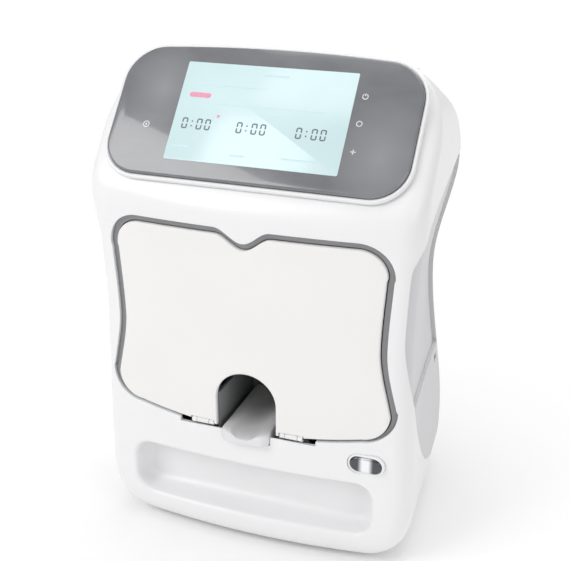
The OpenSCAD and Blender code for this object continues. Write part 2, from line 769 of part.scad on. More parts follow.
motor_l = 8;
module y_motor() color("dimgray") difference() {
    along_y(stage_x, bar_y - bar_t - motor_l, bar_y - bar_t, belt_z, 7);
    along_y(stage_x, bar_y - bar_t - motor_l + 1, far, belt_z, screw_r + run_gap);
}

module lead_screw() color("silver") {
    along_y(stage_x, bar_y - bar_t - motor_l + 2, cross_y - 0.3, belt_z, screw_r);
}

// ---- carriage, carried front to back on the two stage rods ----

module carriage() color("dimgray") difference() {
    union() {
        block(-carriage_w / 2, carriage_w / 2, carriage_y - carriage_l / 2,
            carriage_y + carriage_l / 2, cart_z - carriage_floor, cart_z + carriage_h);
        block(-stage_x - 6, stage_x + 6, carriage_y - ear_l / 2, carriage_y + ear_l / 2,
            stage_z - 6, stage_z + 6);
        block(0, stage_x + 6, carriage_y - ear_l / 2, carriage_y + ear_l / 2,
            stage_z, belt_z + 7);
    }
    block(-cart_w / 2 - cart_gap, cart_w / 2 + cart_gap, carriage_y - cart_l / 2 - cart_gap,
        carriage_y + cart_l / 2 + cart_gap, cart_z, far);
    block(-snout_w / 2 - 1, snout_w / 2 + 1, carriage_y - cart_l / 2 + 3,
        carriage_y - cart_l / 2 + snout_l + 5, 0, far);
    block(-12, 12, carriage_y, carriage_y + cart_l / 2 + cart_gap + 1.2, cart_z + 4, cart_z + 30);
    for (s = [-1, 1]) along_y(s * stage_x, -far, far, stage_z, y_rod_r + run_gap);
    along_y(stage_x, -far, far, belt_z, 4.5);
}

module lead_nut() color("goldenrod") difference() {
    along_y(stage_x, carriage_y - ear_l / 2, carriage_y + ear_l / 2, belt_z, 4.5);
    along_y(stage_x, -far, far, belt_z, screw_r + run_gap);
}

module contact_board() color("darkgreen") block(-12, 12, carriage_y + cart_l / 2 + cart_gap,
    carriage_y + cart_l / 2 + cart_gap + 1.2, cart_z + 4, cart_z + 30);

// ---- ink cartridge, lifted out of the carriage ----

module cartridge_body() color("black") difference() {
    translate([0, carriage_y, 0]) {
        translate([0, 0, cart_z]) linear_extrude(cart_h) polygon(box_outline(cart_w, cart_l, cart_r));
        translate([0, (snout_l - cart_l) / 2 + 4, cart_z - snout_h]) linear_extrude(snout_h)
            polygon(box_outline(snout_w, snout_l, 1.5));
    }
    block(cart_w / 2 - 3, far, carriage_y + 4, carriage_y + 16, cart_z + carriage_h + 2, far);
    block(-11, 11, carriage_y + cart_l / 2 - 0.4, far, cart_z + 5, cart_z + 29);
}

module cartridge_lid() color("black") translate([0, carriage_y, cart_z + cart_h]) difference() {
    union() {
        linear_extrude(lid_t + lid_rim)
            polygon(box_outline(cart_w + 2 * lid_over, lid_l, cart_r + lid_over));
        translate([-6, -lid_l / 2 - 3, 0]) cube([12, 4, lid_t]);
    }
    translate([0, 0, lid_t]) linear_extrude(far)
        polygon(box_outline(cart_w + 2 * lid_over - 4, lid_l - 4, cart_r));
}

module cartridge_label() color("paleturquoise") translate([0, carriage_y, cart_z + cart_h + lid_t])
    linear_extrude(0.3) polygon(box_outline(cart_w - 6, cart_l - 12, 2));

flex_y = carriage_y + cart_l / 2 - 0.4;
module contact_flex() color("peru") block(-11, 11, flex_y, flex_y + 0.3, cart_z + 5, cart_z + 29);

module contact_pads() color("gold") for (row = [0:4], col = [0:5])
    along_y(-8.5 + 3.4 * col, flex_y + 0.3, flex_y + 0.45, cart_z + 8.5 + 4.2 * row, 1);

module nozzle_plate() color("goldenrod") translate([0, carriage_y + (snout_l - cart_l) / 2 + 4,
    cart_z - snout_h - 0.4]) linear_extrude(0.4) polygon(box_outline(10, 20, 1));

// ---- electronics ----

board_t = 1.6;
main_x = 52;
main_gap = 1.5;
main_in = 6;
module main_board() color("darkgreen") {
    y0 = chassis_back_y + main_gap;
    front = y0 + board_t;
    block(-main_x, main_x, y0, front, floor_z + main_in, mount_z - main_in);
    block(-16, 8, front, front + 1.8, belt_z - 20, belt_z + 4);
    block(20, 32, front, front + 1.4, belt_z - 12, belt_z - 2);
    block(-44, -28, front, front + 2.4, floor_z + 14, floor_z + 22);
    for (x = [main_in - main_x, main_x - main_in], z = [floor_z + 2 * main_in, mount_z - 2 * main_in])
        along_y(x, chassis_back_y, y0, z, 3);
}

standoff_h = 10;
standoff_r = 2.5;
board_z = base_z + base_t + standoff_h;
board_back_y = back_y - 21;
board_l = 46;
board_left_x = -53;
board_right_x = -6;
inlet_x = -45;
inlet_z = board_z + board_t + 5.5;
module power_board() color("darkgreen") {
    top = board_z + board_t;
    block(board_left_x, board_right_x, board_back_y - board_l, board_back_y, board_z, top);
    block(-34, -18, board_back_y - board_l + 4, board_back_y - 18, top, top + 14.4);
    along_z(-24, board_back_y - 10, top, top + 12.4, 5);
}

module board_standoffs() color("goldenrod")
    for (x = [board_left_x + 5, board_right_x - 4], y = [board_back_y - board_l + 6, board_back_y - 4])
        along_z(x, y, base_z + base_t, board_z, standoff_r);

inlet_back_y = y_back(inlet_z);
module dc_inlet() color("black") difference() {
    union() {
        block(inlet_x - 6, inlet_x + 6, board_back_y - 12, inlet_back_y - wall - 0.5,
            inlet_z - 5.5, inlet_z + 5.5);
        along_y(inlet_x, board_back_y, inlet_back_y - 0.2, inlet_z, inlet_r + 1.4);
    }
    along_y(inlet_x, inlet_back_y - 10.2, far, inlet_z, inlet_r);
}

port_y = rear_seam_y - 13;
port_w = 9;
port_h = 3.6;
port_z = rear_seam_z - panel_lap - port_h - 2 * seam;
module usb_port() color("dimgray") difference() {
    tip = side_at(port_y, port_z) - 1.2;
    block(chassis_x, tip, port_y - port_w / 2, port_y + port_w / 2, port_z, port_z + port_h);
    block(tip - 6, far, port_y - port_w / 2 + 0.5, port_y + port_w / 2 - 0.5,
        port_z + 0.5, port_z + port_h - 0.5);
}

fan_back_y = back_y - foot_edge_in - wall - 0.5;
fan_z = base_z + base_t + fan_w / 2;
module fan_frame() color("black") difference() {
    block(vent_x - fan_w / 2, vent_x + fan_w / 2, fan_back_y - fan_t, fan_back_y,
        base_z + base_t, base_z + base_t + fan_w);
    difference() {
        along_y(vent_x, -far, far, fan_z, fan_w / 2 - 1.5);
        along_y(vent_x, fan_back_y - fan_t, fan_back_y - fan_t + 1.5, fan_z, 8);
        for (a = [0:90:270]) translate([vent_x, 0, fan_z]) rotate([0, a + 45, 0])
            block(-1.2, 1.2, fan_back_y - fan_t, fan_back_y - fan_t + 1.5, 6, fan_w / 2);
    }
}

module fan_rotor() color("dimgray") {
    y0 = fan_back_y - fan_t + 2;
    y1 = fan_back_y - 0.6;
    along_y(vent_x, y0, y1, fan_z, 8);
    for (a = [0:360 / 7:359]) translate([vent_x, (y0 + y1) / 2, fan_z]) rotate([0, a, 0])
        translate([0, 0, 7]) rotate([0, 0, 38]) block(-0.7, 0.7, -3.6, 3.6, 0, fan_w / 2 - 10.4);
}

front_shell();
head_shell();
recess_tub();
rear_shell();
side_panel_left();
side_panel_right();
base_plate();
rubber_feet();
case_screws();
screen_bezel();
screen_glass();
display_module();
display_board();
door_trim();
front_door();
door_knuckles();
door_strike();
hinge_brackets();
hinge_pins();
latch_magnet();
camera_bracket();
camera_module();
light_strip();
button_bezel();
power_button();
button_switch();
finger_rest();
finger_chamber();
chassis_frame();
chassis_posts();
guide_rods();
x_motor();
drive_pulley();
idler_bracket();
idler_pulley();
drive_belt();
gantry_frame();
gantry_bushings();
gantry_bar();
stage_rods();
y_motor();
lead_screw();
carriage();
lead_nut();
contact_board();
cartridge_body();
cartridge_lid();
cartridge_label();
contact_flex();
contact_pads();
nozzle_plate();
main_board();
power_board();
board_standoffs();
dc_inlet();
usb_port();
fan_frame();
fan_rotor();
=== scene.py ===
"""Countertop nail art printer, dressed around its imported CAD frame. Lengths are in
millimetres up to the mesh makers, which turn them into metres."""

import math

import bpy
import bmesh
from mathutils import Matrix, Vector
from mathutils.geometry import delaunay_2d_cdt

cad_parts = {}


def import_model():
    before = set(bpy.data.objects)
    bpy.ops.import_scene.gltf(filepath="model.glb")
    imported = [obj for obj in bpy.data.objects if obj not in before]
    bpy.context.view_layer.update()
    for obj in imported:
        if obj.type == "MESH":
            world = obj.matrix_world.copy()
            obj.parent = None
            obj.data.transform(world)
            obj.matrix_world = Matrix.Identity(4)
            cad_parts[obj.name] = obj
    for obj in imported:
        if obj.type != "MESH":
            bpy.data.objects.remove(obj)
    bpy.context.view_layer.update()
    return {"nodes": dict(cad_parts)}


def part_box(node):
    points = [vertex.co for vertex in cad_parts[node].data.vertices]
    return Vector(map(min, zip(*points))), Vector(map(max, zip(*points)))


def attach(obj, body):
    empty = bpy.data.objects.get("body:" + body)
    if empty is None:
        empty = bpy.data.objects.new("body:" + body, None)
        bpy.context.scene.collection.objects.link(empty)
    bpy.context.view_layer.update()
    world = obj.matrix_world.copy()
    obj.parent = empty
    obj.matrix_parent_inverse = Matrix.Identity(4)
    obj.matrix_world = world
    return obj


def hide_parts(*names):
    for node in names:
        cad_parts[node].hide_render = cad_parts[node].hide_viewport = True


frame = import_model()
NODES = frame["nodes"]
MM = 0.001

# ---- driving dimensions, as in the construction ----
HEAD_W, WAIST_W, LOW_W = 214, 208, 213
HEAD_BACK_W, WAIST_BACK_W, LOW_BACK_W = 201, 165, 190
WAIST_Z, HEAD_Z, BACK_WAIST_Z, BACK_HEAD_Z = 155, 240, 165, 255
TOP_Z, LOW_Z, BASE_Z = 322, 48, 3
FRONT_Y, BACK_Y, BULGE, CHIN_OUT = -68.5, 81.5, 8, 5
FRONT_R, BACK_R, WALL = 14, 24, 2.5
FOOT_H, FOOT_IN, FOOT_EDGE_H, FOOT_EDGE_IN = 36, 26, 16, 12
HOOD_Z, HOOD_DROP, CROWN_Z, CROWN_IN = 208, 168, 266, 54
CHIN_LOW_Z, CHIN_HIGH_Z = 200, 238
TILT = math.radians(40)
SCREEN_Y, SCREEN_Z = -43.5, 278
GLASS_W, GLASS_H, GLASS_R, GLASS_BOW, GLASS_T, RIM = 188, 83, 22, 4.5, 4, 2.5
DISPLAY_W, DISPLAY_H = 108, 64.8
DOOR_TOP_X, DOOR_WAIST_X, DOOR_LOW_X = 86.5, 83.5, 93
DOOR_TOP_Z, DOOR_LOW_Z, DOOR_BOW, DOOR_R, DOOR_T = 218, 94, 7, 17, 3
TRIM_W, TRIM_DEEP, TRIM_T, DOOR_GAP = 4, 2.3, 1, 0.6
NOTCH_X, NOTCH_H = 18, 9
HOLE_W, HOLE_TOP_Z = 40, 127
GROOVE_DROP = 1.2
HINGE_X, HINGE_R, HINGE_CUT_Z = 46, 3.4, DOOR_LOW_Z - 6
KNUCKLE_X, KNUCKLE_ROOM, BRACKET_ROOM, BARREL_X, BARREL_R = 30, 8.2, 4, 60, 3.1
RECESS_X, RECESS_LOW_Z, RECESS_TOP_Z, RECESS_BACK_Y = 82, 24, 61, -55.5
RECESS_R, RECESS_FLARE, RECESS_FLOOR_R = 12, 3, 8
SIDE_FRONT_Y, SIDE_UP_Z, SIDE_UP_R, SIDE_RISE = FRONT_Y + 1.7, 203, 26, 11.5
SIDE_MID_Z, SIDE_DOWN_R, SIDE_LOW_ANGLE = 165, 145, 234
REAR_SEAM_Y, REAR_SEAM_Z, REAR_SEAM_LEAN = BACK_Y - 24, 104.5, 0.08
PANEL_LAP, PANEL_T, SEAM = 4, 2.2, 0.3
PANEL_FRONT_X = DOOR_TOP_X + TRIM_W + DOOR_GAP + 1
FRONT_ZONE_Y = FRONT_Y + 22
CHIN_SOFT, RIDGE_SOFT = 6, 5
VENT_SLOTS, VENT_PITCH, VENT_W, VENT_H, VENT_UP = 7, 5, 2.8, 28, 28
INLET_R, SOCKET_GAP, BUTTON_GAP = 4.5, 0.6, 0.6
GLASS_LIFT = 1
GLASS_TOP = GLASS_LIFT + GLASS_T
EDGE_BEVEL, MERGE = 0.25, 0.004
FAR = 400


# ---- the casing's form ----
def ease(t):
    u = min(max(t, 0), 1)
    return u * u * (3 - 2 * u)


def quarter(t):
    u = min(max(t, 0), 1)
    return 1 - math.sqrt(1 - u * u)


def between(z, low, mid, high, mid_z, high_z):
    if z < mid_z:
        return mid + (low - mid) * ease((mid_z - z) / (mid_z - LOW_Z))
    return mid + (high - mid) * ease((z - mid_z) / (high_z - mid_z))


def drawn_in(z):
    return (FOOT_IN * quarter(1 - (z - BASE_Z) / FOOT_H)
            + CROWN_IN * quarter((z - CROWN_Z) / (TOP_Z - CROWN_Z)))


def half_w(z):
    return between(z, LOW_W, WAIST_W, HEAD_W, WAIST_Z, HEAD_Z) / 2 - drawn_in(z)


def back_half_w(z):
    return between(z, LOW_BACK_W, WAIST_BACK_W, HEAD_BACK_W,
                   BACK_WAIST_Z, BACK_HEAD_Z) / 2 - drawn_in(z)


def foot_edge(z):
    return FOOT_EDGE_IN * quarter(1 - (z - BASE_Z) / FOOT_EDGE_H)


def y_front(z):
    return FRONT_Y - CHIN_OUT * ease((z - CHIN_LOW_Z) / (CHIN_HIGH_Z - CHIN_LOW_Z)) + foot_edge(z)


def y_back(z):
    return BACK_Y - foot_edge(z) - HOOD_DROP * quarter((z - HOOD_Z) / (TOP_Z - HOOD_Z))


def slope_y(z, t):
    """The sloped face, drawn in by t."""
    return SCREEN_Y + (z - SCREEN_Z) * math.tan(TILT) + t / math.cos(TILT)


def softer(a, b, k):
    """The larger of a and b, with the corner between them rounded."""
    return (a + b + math.sqrt((a - b) ** 2 + k * k)) / 2


def placed_z(z, t):
    return BASE_Z + t + (z - BASE_Z) * (1 - 2 * t / (TOP_Z - BASE_Z))


class Level:
    """One horizontal section of the casing, drawn in by t."""

    def __init__(self, z, t=0.0):
        self.z, self.t, self.place = z, t, placed_z(z, t)
        self.w = half_w(z) - t
        self.k = (back_half_w(z) - t) / self.w
        self.back = y_back(z) - t
        full = self.back - self.raw_front(self.w)
        soft = RIDGE_SOFT * ease((z - HOOD_Z) / 40)
        self.d = math.sqrt(max(full * abs(full) - soft * soft, 0))
        self.shift = (full - self.d) / 2
        self.rf = min(FRONT_R, self.d * 0.3)
        self.rb = min(BACK_R, self.d * 0.45)

    def raw_front(self, x):
        y = y_front(self.z) + self.t - BULGE * (1 - (x / self.w) ** 2)
        return softer(y, slope_y(self.place, self.t), CHIN_SOFT)

    def at(self, px, py):
        s = py / self.d if self.d else 0
        edge = self.raw_front(px) + self.shift
        return (px * (1 + (self.k - 1) * s), edge * (1 - s) + (self.back - self.shift) * s)

    def ring(self):
        w, d, rf, rb = self.w, self.d, self.rf, self.rb
        half = [((w - rf) * i / 14, 0) for i in range(14)]
        half += [(w - rf + rf * math.sin(a), rf - rf * math.cos(a)) for a in spread(0, 90, 9)]
        side = d - rf - rb
        half += [(w, rf + side * i / 14) for i in range(1, 14)]
        half += [(w - rb + rb * math.cos(a), d - rb + rb * math.sin(a)) for a in spread(0, 90, 11)]
        half += [((w - rb) * (1 - i / 12), d) for i in range(1, 13)]
        points = half + [(-x, y) for x, y in half[-2:0:-1]]
        return [self.at(x, y) for x, y in points]

    def front_at(self, x):
        """y of the front surface at x, out to the corner's rounding."""
        px = abs(x)
        for _ in range(4):
            over = min(max(px - (self.w - self.rf), 0) / self.rf, 1)
            py = self.rf * (1 - math.sqrt(1 - over * over))
            px = min(abs(x) / (1 + (self.k - 1) * py / self.d), self.w)
        return self.at(px, py)[1]


def spread(a, b, n):
    """n angles from a to b, in radians."""
    return [math.radians(a + (b - a) * i / (n - 1)) for i in range(n)]


def front_at(x, z):
    return Level(z).front_at(x)


def top_level():
    low, high = CROWN_Z, TOP_Z
    for _ in range(40):
        mid = (low + high) / 2
        if Level(mid).d > 0.5:
            low = mid
        else:
            high = mid
    return low


def levels():
    top = top_level()
    foot = [BASE_Z + FOOT_H * (1 - math.cos(a)) for a in spread(0, 90, 15)]
    middle = [BASE_Z + FOOT_H + (HOOD_Z - BASE_Z - FOOT_H) * i / 38 for i in range(1, 39)]
    hood = [HOOD_Z + (top - HOOD_Z) * math.sin(a) for a in spread(0, 90, 49)[1:]]
    return foot + middle + hood


# ---- mesh makers ----
def link(name, mesh):
    o = bpy.data.objects.new(name, mesh)
    bpy.context.scene.collection.objects.link(o)
    return o


def mesh_object(name, verts, faces):
    mesh = bpy.data.meshes.new(name)
    mesh.from_pydata([(x * MM, y * MM, z * MM) for x, y, z in verts], [], faces)
    mesh.validate()
    bm = bmesh.new()
    bm.from_mesh(mesh)
    bmesh.ops.recalc_face_normals(bm, faces=bm.faces)
    if bm.calc_volume(signed=True) < 0:
        bmesh.ops.reverse_faces(bm, faces=bm.faces)
    bm.to_mesh(mesh)
    bm.free()
    return link(name, mesh)


def loft(name, rings, closed=False):
    """Skin over rings of the same count, capped at both ends or closed on itself."""
    n = len(rings[0])
    verts = [p for ring in rings for p in ring]
    last = len(rings) if closed else len(rings) - 1
    faces = []
    for i in range(last):
        a, b = i * n, (i + 1) % len(rings) * n
        faces += [(a + j, a + (j + 1) % n, b + (j + 1) % n, b + j) for j in range(n)]
    if not closed:
        faces += [tuple(range(n)), tuple((len(rings) - 1) * n + j for j in range(n))]
    return mesh_object(name, verts, faces)


def prism_y(outline, y0, y1):
    return loft("cut", [[(x, y0, z) for x, z in outline], [(x, y1, z) for x, z in outline]])


def prism_x(outline, x0=-FAR, x1=FAR):
    return loft("cut", [[(x0, y, z) for y, z in outline], [(x1, y, z) for y, z in outline]])


def prism_z(outline, z0, z1):
    return loft("cut", [[(x, y, z0) for x, y in outline], [(x, y, z1) for x, y in outline]])


def block(x0, x1, y0, y1, z0, z1):
    return prism_y([(x0, z0), (x1, z0), (x1, z1), (x0, z1)], y0, y1)


def rod_x(x0, x1, y, z, r):
    ring = [(y + r * math.cos(a), z + r * math.sin(a)) for a in spread(0, 360, 41)[:-1]]
    return prism_x(ring, x0, x1)


def middle(box):
    """Centre of a node's box, in millimetres."""
    return [(a + b) / 2 / MM for a, b in zip(*box)]


def extent(box):
    """Size of a node's box, in millimetres."""
    return [(b - a) / MM for a, b in zip(*box)]


def baked(o):
    """Turns o's modifiers into its mesh."""
    bpy.context.view_layer.update()
    graph = bpy.context.evaluated_depsgraph_get()
    mesh = bpy.data.meshes.new_from_object(o.evaluated_get(graph))
    o.modifiers.clear()
    o.data = mesh


def carve(o, operation, *others):
    """Joins each of the others with o by a boolean, in turn, and uses it up."""
    for other in others:
        m = o.modifiers.new("carve", "BOOLEAN")
        m.operation = operation
        m.solver = "MANIFOLD"
        m.object = other
        baked(o)
        bpy.data.objects.remove(other)


def smooth(o, angle=32):
    """Shades o smooth, but for edges sharper than angle degrees."""
    bm = bmesh.new()
    bm.from_mesh(o.data)
    bmesh.ops.remove_doubles(bm, verts=bm.verts, dist=MERGE * MM)
    bmesh.ops.dissolve_degenerate(bm, edges=bm.edges, dist=MERGE * MM)
    bm.to_mesh(o.data)
    bm.free()
    for p in o.data.polygons:
        p.use_smooth = True
    o.data.set_sharp_from_angle(angle=math.radians(angle))
    return o


def bevel(o, width):
    m = o.modifiers.new("bevel", "BEVEL")
    m.width = width * MM
    m.segments = 2
    m.limit_method = "ANGLE"
    m.angle_limit = math.radians(40)


def arc(cx, cy, r, a0, a1, n):
    return [(cx + r * math.cos(a), cy + r * math.sin(a)) for a in spread(a0, a1, n)]


def box_outline(w, h, r, n=7):
    x, y = w / 2 - r, h / 2 - r
    return (arc(x, y, r, 0, 90, n) + arc(-x, y, r, 90, 180, n)
            + arc(-x, -y, r, 180, 270, n) + arc(x, -y, r, 270, 360, n))


def stepped(outline, step):
    """The closed outline with points no further apart than step."""
    out = []
    for (ax, ay), (bx, by) in zip(outline, outline[1:] + outline[:1]):
        n = max(1, math.ceil(math.hypot(bx - ax, by - ay) / step))
        out += [(ax + (bx - ax) * i / n, ay + (by - ay) * i / n) for i in range(n)]
    return out


# ---- outlines ----
def side_top_z(y, g):
    slope = math.radians(SIDE_RISE)
    return (SIDE_UP_Z + (SIDE_UP_R + g) / math.cos(slope)
            + (y - SIDE_FRONT_Y - SIDE_UP_R) * math.tan(slope))


def side_opening(g):
    up = arc(SIDE_FRONT_Y + SIDE_UP_R, SIDE_UP_Z, SIDE_UP_R + g, 90 + SIDE_RISE, 180, 30)
    down = arc(SIDE_FRONT_Y + SIDE_DOWN_R, SIDE_MID_Z, SIDE_DOWN_R + g, 181, SIDE_LOW_ANGLE, 40)
    return up + down + [(BACK_Y + 5, BASE_Z - 1 - g), (FAR, BASE_Z - 1 - g),
                        (FAR, side_top_z(FAR, g))]


def rear_seam():
    """Everything behind the rear seam and below its forward run."""
    front = REAR_SEAM_Z + REAR_SEAM_LEAN * (REAR_SEAM_Y + FAR)
    return [(REAR_SEAM_Y, TOP_Z), (REAR_SEAM_Y, REAR_SEAM_Z), (-FAR, front),
            (-FAR, BASE_Z - 1), (FAR, BASE_Z - 1), (FAR, TOP_Z)]


def door_edge(z):
    if z < WAIST_Z:
        return DOOR_WAIST_X + (DOOR_LOW_X - DOOR_WAIST_X) * ease(
            (WAIST_Z - z) / (WAIST_Z - DOOR_LOW_Z))
    return DOOR_WAIST_X + (DOOR_TOP_X - DOOR_WAIST_X) * ease(
        (z - WAIST_Z) / (DOOR_TOP_Z - WAIST_Z))


def notch_dip(x):
    return NOTCH_H * (1 + math.cos(math.pi * x / NOTCH_X)) / 2 if abs(x) < NOTCH_X else 0


def door_outline(g, gb):
    """Door's outline from the bottom middle round its right side, grown by g and gb below."""
    zt, zb, r = DOOR_TOP_Z + g, DOOR_LOW_Z - gb, DOOR_R + g
    xt, xb = door_edge(DOOR_TOP_Z) + g, door_edge(DOOR_LOW_Z + DOOR_R) + g
    half = [(x, zb - DOOR_BOW * (1 - (x / (xb - r)) ** 2))
            for x in ((xb - r) * i / 30 for i in range(31))]
    half += arc(xb - r, zb + r, r, 280, 360, 12)
    steps = 40
    for i in range(1, steps):
        z = zb + r + (zt - zb - 2 * r) * i / steps
        half.append((door_edge(z) + g, z))
    half += arc(xt - r, zt - r, r, 0, 90, 14)
    half += [(x, zt) for x in ((xt - r) - (xt - r - NOTCH_X) * i / 16 for i in range(1, 16))]
    half += [(x, zt - notch_dip(x)) for x in (NOTCH_X * (1 - i / 20) for i in range(21))]
    return half + [(-x, z) for x, z in reversed(half[1:-1])]


def groove_outline():
    return door_outline(TRIM_W + DOOR_GAP, DOOR_GAP + GROOVE_DROP)


def recess_outline(g):
    mid = (RECESS_TOP_Z + RECESS_LOW_Z) / 2
    w, h = 2 * RECESS_X + 2 * g, RECESS_TOP_Z - RECESS_LOW_Z + 2 * g
    return [(x, z + mid) for x, z in stepped(box_outline(w, h, RECESS_R + g, 9), 5)]


# ---- shells ----
def form(t=0.0):
    """The whole casing as one solid, drawn in by t."""
    rings = []
    for z in levels():
        level = Level(z, t)
        rings.append([(x, y, level.place) for x, y in level.ring()])
    return loft("form", rings)


def flared(outline, flare, back, back_r):
    """A cutter whose mouth flares by flare at the front surface and whose floor is rounded."""
    rings = []
    turn = spread(0, 90, 8)
    for a in turn:
        ring = outline(-back_r * (1 - math.sin(a)))
        rings.append([(x, back - back_r * (1 - math.cos(a)), z) for x, z in ring])
    for a in turn:
        ring = outline(flare * (1 - math.cos(a)))
        rings.append([(x, front_at(x, z) + flare * (1 - math.sin(a)), z) for x, z in ring])
    ring = outline(flare)
    rings.append([(x, front_at(x, z) - 0.5, z) for x, z in ring])
    rings.append([(x, -FAR, z) for x, z in ring])
    return rings


def front_shell():
    shell = form()
    carve(shell, "DIFFERENCE", form(WALL))
    carve(shell, "DIFFERENCE", prism_x(side_opening(0)),
          prism_y(groove_outline(), -FAR, FRONT_ZONE_Y))
    tub = form()
    carve(tub, "INTERSECT", prism_y(recess_outline(WALL), -FAR, RECESS_BACK_Y + WALL))
    carve(shell, "UNION", tub)
    mouth = loft("cut", flared(recess_outline, RECESS_FLARE, RECESS_BACK_Y, RECESS_FLOOR_R))
    carve(shell, "DIFFERENCE", mouth)
    lo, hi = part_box("finger_rest")
    carve(shell, "DIFFERENCE",
          block(lo.x / MM - SEAM, hi.x / MM + SEAM, -FAR, 0, lo.z / MM - SEAM, HINGE_CUT_Z),
          hinge_sweep(), button_hole(), display_hole(), base_opening())
    shell.name = "front_casing"
    return smooth(shell)


def base_opening():
    """Room for the base plate inside the foot."""
    return prism_z(Level(BASE_Z, WALL + 0.2).ring(), 0, BASE_Z + 3)


def hinge_sweep():
    """Room for the door's lower edge as it turns about its pins."""
    _, y, z = middle(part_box("hinge_pins"))
    return rod_x(-HINGE_X, HINGE_X, y, z, HINGE_R)


def button_hole():
    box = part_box("button_bezel")
    (w, _, h), (x, _, z) = extent(box), middle(box)
    outline = [(x + a, z + b) for a, b in box_outline(w + 0.2, h + 0.2, h / 2, 9)]
    return prism_y(outline, -FAR, 0)


def on_screen(points):
    """Points of the sloped face's own frame, x right, y up the slope, z out of it."""
    c, s = math.cos(TILT), math.sin(TILT)
    return [(x, SCREEN_Y + y * s - z * c, SCREEN_Z + y * c + z * s) for x, y, z in points]


def display_hole():
    outline = box_outline(DISPLAY_W + 12, DISPLAY_H + 11, 3)
    return loft("cut", [on_screen([(x, y, z) for x, y in outline]) for z in (-20, 20)])


def rear_shell():
    shell = form()
    carve(shell, "INTERSECT", prism_x(side_opening(-SEAM)))
    carve(shell, "INTERSECT", prism_x(rear_seam()))
    carve(shell, "DIFFERENCE", form(WALL))
    vent_x = middle(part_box("fan_frame"))[0]
    for i in range(VENT_SLOTS):
        x = vent_x + (i - VENT_SLOTS // 2) * VENT_PITCH
        slot = [(a + x, b + BASE_Z + VENT_UP)
                for a, b in box_outline(VENT_W, VENT_H, VENT_W / 2 - 0.01, 6)]
        carve(shell, "DIFFERENCE", prism_y(slot, 0, FAR))
    x, _, z = middle(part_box("dc_inlet"))
    inlet = [(x + a, z + b) for a, b in arc(0, 0, INLET_R, 0, 350, 36)]
    carve(shell, "DIFFERENCE", prism_y(inlet, 0, FAR))
    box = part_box("usb_port")
    (_, w, h), (_, y, z) = extent(box), middle(box)
    socket = [(y + a, z + b) for a, b in box_outline(w + SOCKET_GAP, h + SOCKET_GAP, 1)]
    carve(shell, "DIFFERENCE", prism_x(socket, 0, FAR), base_opening())
    shell.name = "rear_casing"
    return smooth(shell)


def side_panel(sign):
    """The inset panel of the right side, or its mirror image where sign is negative."""
    panel = form(WALL)
    carve(panel, "INTERSECT", prism_x(side_opening(PANEL_LAP)))
    y1 = REAR_SEAM_Y + PANEL_LAP
    plan = [(PANEL_FRONT_X, -FAR), (FAR, -FAR), (FAR, y1), (0, y1), (0, FRONT_ZONE_Y),
            (PANEL_FRONT_X, FRONT_ZONE_Y)]
    carve(panel, "INTERSECT", prism_z(plan, REAR_SEAM_Z - PANEL_LAP, FAR))
    carve(panel, "DIFFERENCE", form(WALL + PANEL_T))
    smooth(panel)
    if sign < 0:
        for v in panel.data.vertices:
            v.co.x = -v.co.x
        panel.data.flip_normals()
    panel.name = "side_inset_right" if sign > 0 else "side_inset_left"
    return panel


# ---- pieces that follow the front surface ----
def inset(outline, d):
    """The closed counter-clockwise outline drawn in by d along its normals."""
    out = []
    n = len(outline)
    for i in range(n):
        ax, ay = outline[i - 1]
        bx, by = outline[i]
        cx, cy = outline[(i + 1) % n]
        u, v = Vector((bx - ax, by - ay)).normalized(), Vector((cx - bx, cy - by)).normalized()
        m = Vector((-(u.y + v.y), u.x + v.x))
        m.normalize()
        share = max(m.dot(Vector((-u.y, u.x))), 0.5)
        out.append((bx + m.x * d / share, by + m.y * d / share))
    return out


def inside(p, outline):
    hit = False
    for (ax, ay), (bx, by) in zip(outline, outline[1:] + outline[:1]):
        if (ay > p[1]) != (by > p[1]) and p[0] < (bx - ax) * (p[1] - ay) / (by - ay) + ax:
            hit = not hit
    return hit


